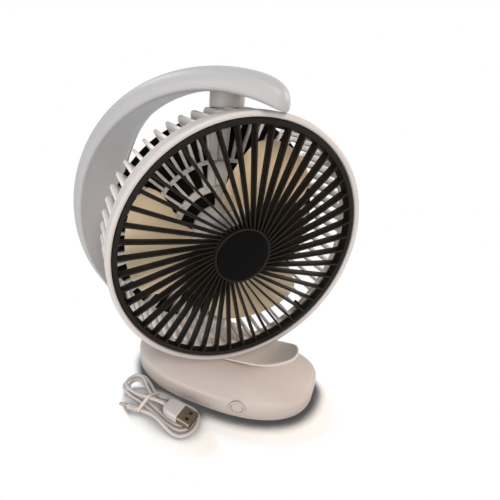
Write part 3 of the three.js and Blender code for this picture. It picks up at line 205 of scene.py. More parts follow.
def moulded_group():
    """Moulded plastic: a faint drift of shade, a fine spark-eroded grain and an uneven gloss."""
    tree, given, made = new_group(
        "moulded_plastic",
        [
            ("Place", "NodeSocketVector", None),
            ("Colour", "NodeSocketColor", (0.6, 0.6, 0.6, 1)),
            ("Drift Colour", "NodeSocketColor", (0.5, 0.5, 0.5, 1)),
            ("Drift", "NodeSocketFloat", 0.5),
            ("Grain Size", "NodeSocketFloat", 2500),
            ("Grain Depth", "NodeSocketFloat", 0.1),
            ("Roughness", "NodeSocketFloat", 0.4),
            ("Gloss Drift", "NodeSocketFloat", 0.1),
        ],
        SURFACE_SOCKETS,
    )
    take = given.outputs
    slow = noise(tree, take["Place"], DRIFT_SIZE, detail=3.0)
    patchy = noise(tree, take["Place"], PATCH_SIZE, detail=4.0, roughness=0.6)
    fine = noise(tree, take["Place"], take["Grain Size"])
    share = sums(tree, "MULTIPLY", spread(tree, slow, *DRIFT_RANGE), take["Drift"])
    put(tree, made, "Colour", mixed(tree, share, take["Colour"], take["Drift Colour"]))
    uneven = sums(tree, "SUBTRACT", patchy, 0.5)
    gloss = sums(tree, "MULTIPLY_ADD", uneven, take["Gloss Drift"], take["Roughness"])
    put(tree, made, "Roughness", sums(tree, "MULTIPLY_ADD", fine, GRAIN_ROUGHNESS, gloss, clamp=True))
    bump = node(tree, "ShaderNodeBump")
    put(tree, bump, "Strength", take["Grain Depth"])
    put(tree, bump, "Distance", GRAIN_HEIGHT)
    put(tree, bump, "Height", fine)
    put(tree, made, "Normal", bump.outputs["Normal"])
    return tree


def corner_dust_and_shade_group():
    """Where surfaces come close together, such as a parting line or a rib's root: partly dust, partly
    painted shade.
    """
    tree, given, made = new_group(
        "corner_dust_and_shade",
        [
            ("Place", "NodeSocketVector", None),
            ("Reach", "NodeSocketFloat", 0.002),
            ("Amount", "NodeSocketFloat", 0.3),
        ],
        [("Mask", "NodeSocketFloat")],
    )
    open_sky = node(tree, "ShaderNodeAmbientOcclusion", samples=4)
    put(tree, open_sky, "Distance", given.outputs["Reach"])
    closed = spread(tree, open_sky.outputs["AO"], *OPEN_TO_CLOSED)
    broken = spread(tree, noise(tree, given.outputs["Place"], DUST_SIZE, detail=3.0), *DUST_BREAKS)
    share = sums(tree, "MULTIPLY", closed, broken)
    put(tree, made, "Mask", sums(tree, "MULTIPLY", share, given.outputs["Amount"]))
    return tree


def brushed_group():
    """Drawn or turned metal: fine lines one way, with a slight change of tone."""
    tree, given, made = new_group(
        "drawn_metal",
        [
            ("Place", "NodeSocketVector", None),
            ("Colour", "NodeSocketColor", (0.5, 0.5, 0.5, 1)),
            ("Roughness", "NodeSocketFloat", 0.3),
            ("Line Size", "NodeSocketFloat", 1500),
        ],
        SURFACE_SOCKETS,
    )
    take = given.outputs
    stretch = node(tree, "ShaderNodeMapping")
    put(tree, stretch, "Vector", take["Place"])
    put(tree, stretch, "Scale", LINE_STRETCH)
    lines = noise(tree, stretch.outputs["Vector"], take["Line Size"], detail=3.0)
    stain = noise(tree, take["Place"], STAIN_SIZE, detail=3.0)
    dark = mixed(tree, 1.0, take["Colour"], STAIN_TINT, "MULTIPLY")
    stained = spread(tree, stain, *STAIN_SPREAD)
    put(tree, made, "Colour", mixed(tree, stained, take["Colour"], dark))
    put(tree, made, "Roughness", sums(tree, "MULTIPLY_ADD", lines, LINE_ROUGHNESS, take["Roughness"]))
    bump = node(tree, "ShaderNodeBump")
    put(tree, bump, "Strength", LINE_STRENGTH)
    put(tree, bump, "Distance", LINE_HEIGHT)
    put(tree, bump, "Height", lines)
    put(tree, made, "Normal", bump.outputs["Normal"])
    return tree


MOULDED = moulded_group()
CORNER_DUST_AND_SHADE = corner_dust_and_shade_group()
DRAWN = brushed_group()


def placed_group(tree, group, place, **values):
    made = node(tree, "ShaderNodeGroup", node_tree=group)
    put(tree, made, "Place", place)
    for label, value in values.items():
        put(tree, made, label.replace("_", " "), value)
    return made.outputs


def new_look(name):
    look = bpy.data.materials.new(name)
    look.use_nodes = True
    tree = look.node_tree
    shader = tree.nodes["Principled BSDF"]
    place = node(tree, "ShaderNodeTexCoord").outputs["Object"]
    return look, tree, shader, place


def plastic(name, colour, drift_colour, roughness, drift=0.5, grain=2600.0, grain_depth=0.12,
            gloss_drift=0.12, dust_and_shade=0.25, dust_and_shade_colour=(0.16, 0.14, 0.12, 1), dust_and_shade_reach=0.0018,
            specular=0.5, sheen=0.0, painted_light_low_colour=None):
    look, tree, shader, place = new_look(name)
    finish = placed_group(
        tree, MOULDED, place, Colour=(*colour, 1), Drift_Colour=(*drift_colour, 1), Drift=drift,
        Grain_Size=grain, Grain_Depth=grain_depth, Roughness=roughness, Gloss_Drift=gloss_drift,
    )
    surface = finish["Colour"]
    # Low on the piece its colour turns to a low colour, painted by height: lighter as painted light,
    # darker as painted shade
    if painted_light_low_colour:
        height = node(tree, "ShaderNodeSeparateXYZ")
        put(tree, height, "Vector", place)
        above_painted_light = spread(tree, height.outputs["Z"], *PAINTED_LIGHT_HEIGHTS)
        surface = mixed(tree, above_painted_light, (*painted_light_low_colour, 1), surface)
    # Corners closed in by other surfaces turn towards the dust colour: dust, and painted shade where that
    # colour is dark
    if dust_and_shade:
        dust_and_shade_mask = placed_group(tree, CORNER_DUST_AND_SHADE, place, Reach=dust_and_shade_reach, Amount=dust_and_shade)["Mask"]
        surface = mixed(tree, dust_and_shade_mask, surface, dust_and_shade_colour)
    put(tree, shader, "Base Color", surface)
    put(tree, shader, "Roughness", finish["Roughness"])
    put(tree, shader, "Normal", finish["Normal"])
    put(tree, shader, "Specular IOR Level", specular)
    if sheen:
        put(tree, shader, "Sheen Weight", sheen)
    return look


def metal(name, colour, roughness, line_size=1500.0):
    look, tree, shader, place = new_look(name)
    finish = placed_group(
        tree, DRAWN, place, Colour=(*colour, 1), Roughness=roughness, Line_Size=line_size)
    put(tree, shader, "Base Color", finish["Colour"])
    put(tree, shader, "Roughness", finish["Roughness"])
    put(tree, shader, "Normal", finish["Normal"])
    put(tree, shader, "Metallic", 1.0)
    return look


# Between these heights the arm and the ring fade from a low colour to their own: painted warm light on
# the arm's lower end, painted shade on the ring's lower part
PAINTED_LIGHT_HEIGHTS = (0.028, 0.085)
# The arm's low colour is painted warm light on its lower end and horn
ARM_WHITE = plastic("arm_white", (0.37, 0.38, 0.40), (0.345, 0.355, 0.37), 0.42,
                    painted_light_low_colour=(0.60, 0.53, 0.48))
STUB_WHITE = plastic("stub_white", (0.60, 0.585, 0.575), (0.57, 0.555, 0.545), 0.42)
# The ring's low colour is painted shade on its lower part
RING_WHITE = plastic("ring_white", (0.50, 0.48, 0.475), (0.475, 0.455, 0.45), 0.36,
                     painted_light_low_colour=(0.34, 0.31, 0.29))
CAGE_WHITE = plastic("cage_white", (0.72, 0.70, 0.69), (0.66, 0.64, 0.63), 0.45, dust_and_shade=0.3)
BASE_CREAM = plastic("base_cream", (0.475, 0.43, 0.41), (0.45, 0.41, 0.39), 0.44)
GRILLE_BLACK = plastic("grille_black", (0.0065, 0.005, 0.0035), (0.010, 0.0075, 0.0055), 0.34,
                       specular=0.16, dust_and_shade=0.08, dust_and_shade_colour=(0.06, 0.05, 0.04, 1))
DISC_BLACK = plastic("disc_black", (0.0016, 0.0015, 0.0015), (0.002, 0.002, 0.002), 0.12,
                     grain_depth=0.0, gloss_drift=0.03, dust_and_shade=0.0, specular=0.05)
BLADE_BEIGE = plastic("blade_beige", (0.88, 0.74, 0.53), (0.84, 0.66, 0.44), 0.38, dust_and_shade=0.1)
CAP_GREY = plastic("cap_grey", (0.70, 0.685, 0.67), (0.66, 0.645, 0.63), 0.42)
# Colour of the black sheet behind the rear cage's bars: painted shade
SHADE_SHEET_BLACK = plastic("shade_sheet_black", (0.006, 0.006, 0.006), (0.01, 0.009, 0.009), 0.9, specular=0.05,
                      dust_and_shade=0.0, grain=1500.0, grain_depth=0.5)
INNER_BLACK = plastic("inner_black", (0.02, 0.02, 0.022), (0.028, 0.027, 0.028), 0.5)
RUBBER = plastic("foot_rubber", (0.06, 0.06, 0.062), (0.08, 0.08, 0.08), 0.8, drift=0.8,
                 grain=900.0, grain_depth=0.4, specular=0.3)
SLEEVE_BLUE = plastic("cell_sleeve", (0.05, 0.16, 0.42), (0.04, 0.13, 0.36), 0.3, grain_depth=0.05)
BOARD_GREEN = plastic("board_green", (0.012, 0.11, 0.045), (0.010, 0.09, 0.04), 0.35, grain=900.0)
FERRITE = plastic("magnet_ferrite", (0.045, 0.045, 0.048), (0.03, 0.03, 0.032), 0.7, grain=1400.0,
                  grain_depth=0.35)
CORD_VINYL = plastic("cord_vinyl", (0.50, 0.47, 0.46), (0.46, 0.43, 0.42), 0.38, grain=1800.0,
                     dust_and_shade=0.35, dust_and_shade_reach=0.001, sheen=0.1)
PLUG_VINYL = plastic("plug_vinyl", (0.50, 0.475, 0.465), (0.46, 0.44, 0.43), 0.34, dust_and_shade=0.2)
TIE_CREAM = plastic("tie_cream", (0.60, 0.53, 0.47), (0.54, 0.47, 0.42), 0.5, grain=1600.0)
STEEL = metal("bright_steel", (0.56, 0.565, 0.57), 0.26)
BRASS = metal("bush_brass", (0.66, 0.47, 0.20), 0.32)
NICKEL = metal("plug_nickel", (0.30, 0.25, 0.185), 0.34, line_size=2400.0)
TIP_NICKEL = metal("tip_nickel", (0.36, 0.29, 0.26), 0.42, line_size=2400.0)

# Mesh work


def tidy(shape):
    bmesh.ops.remove_doubles(shape, verts=shape.verts, dist=SAME_PLACE)
    bmesh.ops.dissolve_degenerate(shape, dist=SAME_PLACE, edges=shape.edges)
    bmesh.ops.recalc_face_normals(shape, faces=shape.faces)
    return shape


def moved(shape, matrix):
    bmesh.ops.transform(shape, matrix=matrix, verts=shape.verts)
    return shape


def joined(*shapes):
    """Puts every shape into the first one's mesh."""
    whole = shapes[0]
    for shape in shapes[1:]:
        held = bpy.data.meshes.new("held")
        shape.to_mesh(held)
        shape.free()
        whole.from_mesh(held)
        bpy.data.meshes.remove(held)
    return whole


def rounded(shape, size, steps=2, sharpest=CORNER):
    """Rounds the edges of the shape that turn by more than the angle given."""
    sharp = [
        edge for edge in shape.edges
        if len(edge.link_faces) == 2 and edge.calc_face_angle(0) > sharpest
    ]
    bmesh.ops.bevel(shape, geom=sharp, offset=size, offset_type="OFFSET", segments=steps,
                    profile=0.5, affect="EDGES", clamp_overlap=True, material=-1)
    return shape


def turned(profile, segments):
    """A body turned about Y. The points are [radius, place along Y]."""
    shape = bmesh.new()
    corners = [shape.verts.new((radius, along, 0)) for radius, along in profile]
    on_axis = profile[0][0] == 0 and profile[-1][0] == 0
    ends = corners[1:] if on_axis else corners[1:] + corners[:1]
    edges = [shape.edges.new(pair) for pair in zip(corners, ends)]
    bmesh.ops.spin(shape, geom=corners + edges, cent=(0, 0, 0), axis=ALONG_Y, angle=FULL_TURN,
                   steps=segments, use_merge=True)
    return tidy(shape)


def upright(profile, segments):
    return moved(turned(profile, segments), Matrix.Rotation(math.pi / 2, 4, "X"))


def across(profile, segments):
    return moved(turned(profile, segments), Matrix.Rotation(-math.pi / 2, 4, "Z"))


def block(low, high):
    shape = bmesh.new()
    bmesh.ops.create_cube(shape, size=1)
    size = Vector(high) - Vector(low)
    middle = (Vector(high) + Vector(low)) / 2
    return moved(shape, Matrix.Translation(middle) @ Matrix.Diagonal((*size, 1)))


def swept(sections, closed=False):
    """A body drawn through sections of as many points each, by extruding its open edge."""
    shape = bmesh.new()
    ring = [shape.verts.new(point) for point in sections[0]]
    if not closed:
        shape.faces.new(ring)
    edges = [shape.edges.get(pair) or shape.edges.new(pair) for pair in zip(ring, ring[1:] + ring[:1])]
    for section in sections[1:]:
        made = bmesh.ops.extrude_edge_only(shape, edges=edges)
        fresh = [item for item in made["geom"] if isinstance(item, bmesh.types.BMVert)]
        partner = {}
        for vert in fresh:
            for edge in vert.link_edges:
                other = edge.other_vert(vert)
                if other in ring:
                    partner[other] = vert
        ring = [partner[vert] for vert in ring]
        for vert, point in zip(ring, section):
            vert.co = point
        edges = [shape.edges.get(pair) for pair in zip(ring, ring[1:] + ring[:1])]
    if closed:
        bmesh.ops.remove_doubles(shape, verts=shape.verts, dist=SAME_PLACE)
    else:
        shape.faces.new(ring)
    bmesh.ops.recalc_face_normals(shape, faces=shape.faces)
    return shape


def copies_round(shape, count, phase=0.0):
    """Repeats a shape round Y. An angle runs from +X towards +Z, against a turn about +Y."""
    moved(shape, Matrix.Rotation(-phase, 4, "Y"))
    bmesh.ops.spin(shape, geom=shape.verts[:] + shape.edges[:] + shape.faces[:], cent=(0, 0, 0),
                   axis=ALONG_Y, angle=FULL_TURN * (count - 1) / count, steps=count - 1,
                   use_duplicate=True)
    return shape


def plate(outline, thickness):
    """A plate across Z, cut out of [x, y] points."""
    shape = bmesh.new()
    face = shape.faces.new([shape.verts.new((x, y, -thickness / 2)) for x, y in outline])
    made = bmesh.ops.extrude_face_region(shape, geom=[face])
    fresh = [item for item in made["geom"] if isinstance(item, bmesh.types.BMVert)]
    bmesh.ops.translate(shape, vec=(0, 0, thickness), verts=fresh)
    bmesh.ops.recalc_face_normals(shape, faces=shape.faces)
    return shape


def piece(name, shape, place, body, look, replaces=(), sharp=SHARP):
    moved(shape, place)
    for face in shape.faces:
        face.smooth = True
    for edge in shape.edges:
        if len(edge.link_faces) == 2 and edge.calc_face_angle(0) > sharp:
            edge.smooth = False
    mesh = bpy.data.meshes.new(name)
    shape.to_mesh(mesh)
    shape.free()
    mesh.materials.append(look)
    made = bpy.data.objects.new(name, mesh)
    bpy.context.scene.collection.objects.link(made)
    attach(made, body)
    if replaces:
        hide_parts(*replaces)
    return made


def softened(made, levels):
    modifier = made.modifiers.new("softened", "SUBSURF")
    modifier.levels = levels
    modifier.render_levels = levels
    return made


def holed(made, *cutters):
    """Cuts each shape out of a piece, and keeps the result as its mesh."""
    for shape, place in cutters:
        moved(shape, place)
        mesh = bpy.data.meshes.new("cutter")
        shape.to_mesh(mesh)
        shape.free()
        cutter = bpy.data.objects.new("cutter", mesh)
        bpy.context.scene.collection.objects.link(cutter)
        modifier = made.modifiers.new("hole", "BOOLEAN")
        modifier.operation = "DIFFERENCE"
        modifier.solver = "EXACT"
        modifier.object = cutter
        bpy.context.view_layer.update()
        result = bpy.data.meshes.new_from_object(
            made.evaluated_get(bpy.context.evaluated_depsgraph_get()))
        made.modifiers.remove(modifier)
        old = made.data
        made.data = result
        result.name = old.name
        bpy.data.meshes.remove(old)
        bpy.data.objects.remove(cutter)
        bpy.data.meshes.remove(mesh)
    return made


# Charging lead, beside the fan
CORD_RADIUS = 1.2
CORD_RESOLUTION = 5
STRAND_PITCH = 3.3
TIE_PITCH = 3.9
LAYER_RISE = 2.9
TIE_PLACE = (-24, -58.6)
TIE_LIFT = 1
TIE_CLEAR = 0.3
TIE_WIRE = 0.5
TIE_WIDTH = 2.4
RIGHT_LOBE = (38, 12.6, math.radians(-11))
LEFT_LOBE = (29.5, 11.8, math.radians(-27))
PLUG_PLACE = Vector((-10.5, -62.1, 8))
PLUG_TURN = math.radians(-11.3)
PLUG_BODY = (12.4, 12.4, 7)
PLUG_SHELL = (9.6, 12, 4.5)
PLUG_SHELL_WALL = 0.4
PLUG_WINDOW = 2.2
PLUG_WINDOW_PITCH = 5
CONNECTOR_RADIUS = 2.3
CONNECTOR_PLACE = Vector((-28.6, -68.9, CONNECTOR_RADIUS + SEAT_GAP))
CONNECTOR_TURN = math.radians(2.4)
CONNECTOR_LENGTH = 8
BARREL_LENGTH = 6.3
BARREL_RADIUS = 1.1
FIRST_TURN = 0.07
LAST_TURN = 2.88
TURN_STEPS = 48
BRIDGE_STEPS = 10
# A lobe's half width goes with its reach to this power, so that it narrows towards the tie
NECK = 1.2
# Turns, and shares of a lobe's reach, between which a strand changes its slot or its layer
INNER_STEP = (2.47, 2.72)
INNER_STRANDS = 1.5
FAR_STEP = (2.43, 2.52)
UPPER_STEP = (2.36, 2.44)
OPENING_STEP = (0.35, 0.75)
OPENING_TURNS = 0.3
TIE_STEP = (0.05, 0.5)
LOBE_BLEND = 0.3
WIDEST_REACH = math.sqrt(NECK / (1 + NECK))
WIDEST_BULGE = WIDEST_REACH ** NECK / math.sqrt(1 + NECK)


def smooth(value, low, high):
    share = min(1, max(0, (value - low) / (high - low)))
    return share * share * (3 - 2 * share)


def hank_point(turns):
    """A slot is a strand's place across the tie, counted from the middle in steps of TIE_PITCH."""
    angle = FULL_TURN * (turns - 1 / 4)
    out = math.cos(angle)
    reach = abs(out)
    far = math.sin(angle) > 0
    lobe = RIGHT_LOBE if out > 0 else LEFT_LOBE
    inward = STRAND_PITCH * (turns - INNER_STRANDS * smooth(turns, *INNER_STEP))
    length = lobe[0] - inward
    half = lobe[1] - inward
    bulge = abs(math.sin(angle)) * reach ** NECK / WIDEST_BULGE
    far_slot = 2 - turns + smooth(turns, *FAR_STEP)
    near_slot = -2 if turns < 1 / 2 else turns - 2.5
    slot = far_slot if far else near_slot
    drawn_in = TIE_PITCH * (1 - bulge) * slot if reach < WIDEST_REACH else 0
    opening = turns < OPENING_TURNS
    layer = 1 - smooth(reach, *OPENING_STEP) if opening else smooth(turns, *UPPER_STEP)
    x = length * out
    y = (half if far else -half) * bulge + drawn_in
    z = CORD_RADIUS + SEAT_GAP + LAYER_RISE * layer + TIE_LIFT * (1 - smooth(reach, *TIE_STEP))
    bend = LEFT_LOBE[2] + (RIGHT_LOBE[2] - LEFT_LOBE[2]) * smooth(out, -LOBE_BLEND, LOBE_BLEND)
    return Vector((
        TIE_PLACE[0] + x * math.cos(bend) - y * math.sin(bend),
        TIE_PLACE[1] + x * math.sin(bend) + y * math.cos(bend),
        z,
    ))


def heading(turn):
    return Vector((math.cos(turn), math.sin(turn), 0))


def bridge(start, start_way, end, end_way):
    pull = (end - start).length / 3
    second = start + start_way * pull
    third = end - end_way * pull
    points = []
    for step in range(BRIDGE_STEPS + 1):
        share = step / BRIDGE_STEPS
        rest = 1 - share
        points.append(start * rest ** 3 + second * (3 * rest ** 2 * share)
                      + third * (3 * rest * share ** 2) + end * share ** 3)
    return points


def lead_route():
    count = round((LAST_TURN - FIRST_TURN) * TURN_STEPS)
    hank = [
        hank_point(FIRST_TURN + (LAST_TURN - FIRST_TURN) * step / count)
        for step in range(count + 1)
    ]
    plug_way = heading(PLUG_TURN)
    connector_way = heading(CONNECTOR_TURN)
    out = CONNECTOR_PLACE + connector_way * 2 * CORD_RADIUS
    back = PLUG_PLACE - plug_way * 2 * CORD_RADIUS
    start = bridge(out, connector_way, hank[0], (hank[1] - hank[0]).normalized())
    end = bridge(hank[-1], (hank[-1] - hank[-2]).normalized(), back, plug_way)
    return [CONNECTOR_PLACE, *start[:-1], *hank, *end[1:], PLUG_PLACE]


ROUTE = lead_route()


def charging_cord():
    curve = bpy.data.curves.new("charging_cord", "CURVE")
    curve.dimensions = "3D"
    curve.bevel_depth = CORD_RADIUS * MM
    curve.bevel_resolution = CORD_RESOLUTION
    curve.use_fill_caps = True
    spline = curve.splines.new("POLY")
    spline.points.add(len(ROUTE) - 1)
    for point, place in zip(spline.points, ROUTE):
        point.co = (*(place * MM), 1)
    spline.use_smooth = True
    curve.materials.append(CORD_VINYL)
    made = bpy.data.objects.new("charging_cord", curve)
    bpy.context.scene.collection.objects.link(made)
    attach(made, "base")
    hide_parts("charging_lead")
    return made


def rounded_oblong(x, width, thick, corner, steps=3):
    """A section across X, with round corners."""
    points = []
    for across_side, up_side, start in ((1, 1, 0), (-1, 1, 1), (-1, -1, 2), (1, -1, 3)):
        for step in range(steps + 1):
            angle = (start + step / steps) * math.pi / 2
            points.append(Vector((
                x,
                across_side * (width / 2 - corner) + corner * math.cos(angle),
                up_side * (thick / 2 - corner) + corner * math.sin(angle),
            )))
    return points


PLUG_PIECE_PLACE = WORLD @ Matrix.Translation(PLUG_PLACE) @ Matrix.Rotation(PLUG_TURN, 4, "Z")
CONNECTOR_PIECE_PLACE = (
    WORLD @ Matrix.Translation(CONNECTOR_PLACE) @ Matrix.Rotation(CONNECTOR_TURN, 4, "Z"))


# Shares of the overmould's length, width and thickness: a drawn-in rear, the grip, the straight front
OVERMOULD_SHARES = ((0.0, 0.62, 0.62), (0.03, 0.72, 0.72), (0.12, 0.86, 0.84), (0.28, 0.97, 0.97),
                    (0.42, 1.0, 1.0), (0.96, 1.0, 1.0), (1.0, 0.955, 0.92))
OVERMOULD_CORNER = 1.5
SHELL_CORNER = 0.7


def plug_overmould():
    length, width, thick = PLUG_BODY
    shape = swept([
        rounded_oblong(GAP + (length - GAP) * along, width * wide, thick * high,
                       OVERMOULD_CORNER * high, steps=4)
        for along, wide, high in OVERMOULD_SHARES
    ])
    return piece("usb_plug_overmould", shape, PLUG_PIECE_PLACE, "base", PLUG_VINYL,
                 ["usb_plug_body"], sharp=BLUNT)


def plug_shell():
    length, width, thick = PLUG_SHELL
    start = PLUG_BODY[0] + GAP
    wall = PLUG_SHELL_WALL
    outer = swept([rounded_oblong(start + length * end, width, thick, SHELL_CORNER) for end in (0, 1)])
    made = piece("usb_plug_shell_nickel", outer, PLUG_PIECE_PLACE, "base", NICKEL,
                 ["usb_plug_shell"])
    inside = swept([
        rounded_oblong(place, width - 2 * wall, thick - 2 * wall, SHELL_CORNER / 2)
        for place in (start + wall, start + length + CUT_PAST)
    ])
    middle = start + length / 2
    windows = [
        block((middle, side * PLUG_WINDOW_PITCH / 2 - PLUG_WINDOW / 2, 0),
              (middle + PLUG_WINDOW, side * PLUG_WINDOW_PITCH / 2 + PLUG_WINDOW / 2, thick))
        for side in (-1, 1)
    ]
    return holed(made, *((shape, PLUG_PIECE_PLACE) for shape in (inside, *windows)))


# Profiles, as [share of the radius, share of the length]
GRIP_REAR_SHARES = ((0.0, 0.0375), (0.62, 0.0375), (0.75, 0.09), (0.84, 0.16))
GRIP_FRONT_SHARES = ((1.0, 0.77), (1.0, 0.94), (0.93, 1.0), (0.0, 1.0))
GRIP_RIBS = 5
GRIP_RIB_START = 0.2
GRIP_RIB_PITCH = 0.11
# One rib and the groove after it, measured from where the rib starts
GRIP_RIB_SHARES = ((1.0, 0), (1.0, 0.065), (0.86, 0.075), (0.86, 0.1))
BARREL_SHARES = ((0, 0), (1, 0), (1, 0.86), (0.92, 0.96), (0.7, 1), (0.45, 1), (0.4, 0.8), (0, 0.8))


def connector():
    ribs = [
        (out, GRIP_RIB_START + rib * GRIP_RIB_PITCH + along)
        for rib in range(GRIP_RIBS) for out, along in GRIP_RIB_SHARES
    ]
    shape = across([
        (CONNECTOR_RADIUS * out, -CONNECTOR_LENGTH * along)
        for out, along in (*GRIP_REAR_SHARES, *ribs, *GRIP_FRONT_SHARES)
    ], SMALL_SEGMENTS)
    body = piece("barrel_connector_grip", shape, CONNECTOR_PIECE_PLACE, "base",
                 PLUG_VINYL, ["connector_body"])
    start = -(CONNECTOR_LENGTH + GAP / 2)
    tip = across([
        (BARREL_RADIUS * out, start - BARREL_LENGTH * along) for out, along in BARREL_SHARES
    ], PIN_SEGMENTS)
    barrel = piece("barrel_connector_tip", tip, CONNECTOR_PIECE_PLACE, "base",
                   TIP_NICKEL, ["connector_barrel"])
    return body, barrel


def strands_at_tie(turn):
    ahead = heading(turn)
    sideways = heading(turn + math.pi / 2)
    tie = Vector((*TIE_PLACE, 0))
    strands = []
    for first, second in zip(ROUTE, ROUTE[1:]):
        before = (first - tie).dot(ahead)
        after = (second - tie).dot(ahead)
        if before * after < 0:
            middle = (first - tie).lerp(second - tie, before / (before - after))
            strands.append(Vector((middle.dot(sideways), middle.z)))
    return strands


TIE_STEPS = 72
# The paper-covered wire is a flat strip with a rounded middle: shares of its width and thickness
TIE_SECTION_SHARES = ((-0.5, 0.25), (-0.5, 0.6), (-0.18, 0.75), (0, 1.0), (0.18, 0.75), (0.5, 0.6),
                      (0.5, 0.25), (0, 0.0))


def twist_tie():
    turn = (LEFT_LOBE[2] + RIGHT_LOBE[2]) / 2
    strands = strands_at_tie(turn)
    sections = []
    for step in range(TIE_STEPS + 1):
        angle = FULL_TURN * step / TIE_STEPS
        way = Vector((math.cos(angle), math.sin(angle)))
        outermost = max(strands, key=lambda strand: strand.dot(way))
        loop = []
        for along, out in TIE_SECTION_SHARES:
            reach = outermost + way * (CORD_RADIUS + TIE_CLEAR + TIE_WIRE * out)
            loop.append(Vector((TIE_WIDTH * along, reach.x, reach.y)))
        sections.append(loop)
    shape = swept(sections, closed=True)
    place = WORLD @ Matrix.Translation((*TIE_PLACE, 0)) @ Matrix.Rotation(turn, 4, "Z")
    return piece("twist_tie_strip", shape, place, "base", TIE_CREAM, ["twist_tie"])


cord = charging_cord()
overmould = plug_overmould()
shell = plug_shell()
grip, barrel = connector()
tie = twist_tie()

# Head: ring, grille, disc, cage
RIM_RADIUS = 75
RING_WIDTH = 3
RING_FRONT = 39.8
RING_BACK = 30
RING_ROUND = 1.3
LIP_STEPS = 12
LEDGE_WIDTH = 1.8
LEDGE_DEPTH = 1.1
LEDGE_BACK = 31.2
VANE_COUNT = 46
VANE_PHASE = math.radians(3.6)
VANE_SWIRL = math.radians(6.2)
VANE_FRONT = 38.3
VANE_DEPTH = 5.3
VANE_THICK = (1.0, 1.5)
VANE_STEPS = 22
VANE_EDGE = 0.36
NEARLY_ALONG = 0.9
GRILLE_RIM_WIDTH = 3.1
GRILLE_RIM_FRONT = 38.8
# The rim's rounded shoulders: how far in from its sides, and how far behind and before the vanes' front
RIM_SHOULDER_IN = 0.35
RIM_SHOULDER_START = 0.2
RIM_SHOULDER_RISE = 0.25
HUB_RADIUS = 17.4
HUB_FRONT = 39.9
HUB_WALL = 1.2
DISC_RECESS = 1.4
DISC_THICK = 1.2
DISC_RISE = 0.5
DISC_EDGE = 0.45
DISC_EDGE_SHARES = (0.3, 0.25)
DISC_STEPS = 12
CLIP_COUNT = 3
CLIP_WIDTH = 4
CLIP_REACH = 6.5
CLIP_THICK = 1.6
CLIP_ANGLE = math.radians(316)
RIB_COUNT = 60
RIB_THICK = 1.8
RIB_OUTER = 77.6
RIB_DEPTH = 4.8
# Where a rib bends round to the back: how far in from its outer face, and how far behind the pivots
RIB_BEND = ((0.25, 0.9), (1.3, 3.0))
# Its heel: how far out from a line near its inner face, and how far before the cage's back
RIB_HEEL = ((0.9, 0.3), (-0.6, 0))
CAGE_BACK = 5
BAR_DEPTH = 3.6
RIB_SHARP = math.radians(60)
FLANGE_THICK = 2.2
COLLAR_WALL = 2
MID_RING = (45, 2.4)
INNER_RING = (27, 4.5)
WINDOW_BARS = 30
SPOKE_COUNT = 3
SPOKE_WIDTH = 4
STRIP_LEFT = 8.5
STRIP_RIGHT = 3.5
STRIP_DEPTH = 2.4
CUP_WALL = 1.8
CUP_FRONT = 4
CUP_FLOOR_BACK = 8
CUP_FLOOR_THICK = 1.8
BOSS_RADIUS = 10
BOSS_INNER = 68.5
BOSS_OUTER = 76.4
CAN_RADIUS = 15.2
PIN_RADIUS = 3.5
# The black sheet behind the rear cage's bars, painted shade: how far in from the back, and how thick
SHADE_SHEET_INSET = 0.6
SHADE_SHEET_THICK = 0.5

RING_OUTER = RIM_RADIUS + RING_WIDTH
GRILLE_OUTER = RIM_RADIUS - GAP
GRILLE_RIM_INNER = GRILLE_OUTER - GRILLE_RIM_WIDTH
VANE_BACK = VANE_FRONT - VANE_DEPTH
COLLAR_INNER = GRILLE_OUTER - COLLAR_WALL


def front_ring():
    lip = RING_WIDTH / 2
    ledge_front = LEDGE_BACK + LEDGE_DEPTH
    # The front is a half-round lip between the ring's two walls
    straight = RING_FRONT - RING_ROUND
    crown = [
        (RIM_RADIUS + lip * (1 - math.cos(angle)), -straight - RING_ROUND * math.sin(angle))
        for angle in (step * math.pi / LIP_STEPS for step in range(LIP_STEPS + 1))
    ]
    shape = turned([
        (RIM_RADIUS, -ledge_front), *crown, (RING_OUTER, -(RING_BACK + RING_ROUND / 4)),
        (RING_OUTER - RING_ROUND / 4, -RING_BACK), (RIM_RADIUS, -RING_BACK), (RIM_RADIUS, -LEDGE_BACK),
        (RIM_RADIUS - LEDGE_WIDTH, -LEDGE_BACK), (RIM_RADIUS - LEDGE_WIDTH, -ledge_front),
    ], ROUND_SEGMENTS)
    return piece("front_trim_ring", shape, HEAD, "head", RING_WHITE, ["front_ring"])


def lengthways(shape):
    """The edges of a straight vane that run from the hub to the rim."""
    return [
        edge for edge in shape.edges
        if abs((edge.verts[0].co - edge.verts[1].co).normalized().dot(ALONG_X)) > NEARLY_ALONG
    ]


def vane():
    """One vane, bent along its own spiral: it leans back the more, the nearer it comes to the hub."""
    inner = HUB_RADIUS - HUB_WALL / 2
    outer = GRILLE_RIM_INNER + GRILLE_RIM_WIDTH / 4
    shape = block((0, -VANE_FRONT, -0.5), (1, -VANE_BACK, 0.5))
    front = [edge for edge in lengthways(shape) if edge.verts[0].co.y < -(VANE_FRONT + VANE_BACK) / 2]
    bmesh.ops.bevel(shape, geom=front, offset=VANE_EDGE, segments=2, profile=0.5, affect="EDGES",
                    material=-1)
    bmesh.ops.subdivide_edges(shape, edges=lengthways(shape), cuts=VANE_STEPS, use_grid_fill=True)
    for vert in shape.verts:
        share = vert.co.x
        radius = inner + (outer - inner) * share
        thick = VANE_THICK[0] + (VANE_THICK[1] - VANE_THICK[0]) * share
        angle = -VANE_SWIRL * (RIM_RADIUS / radius - 1)
        side = vert.co.z * thick
        vert.co = Vector((
            radius * math.cos(angle) - side * math.sin(angle),
            vert.co.y,
            radius * math.sin(angle) + side * math.cos(angle),
        ))
    return shape


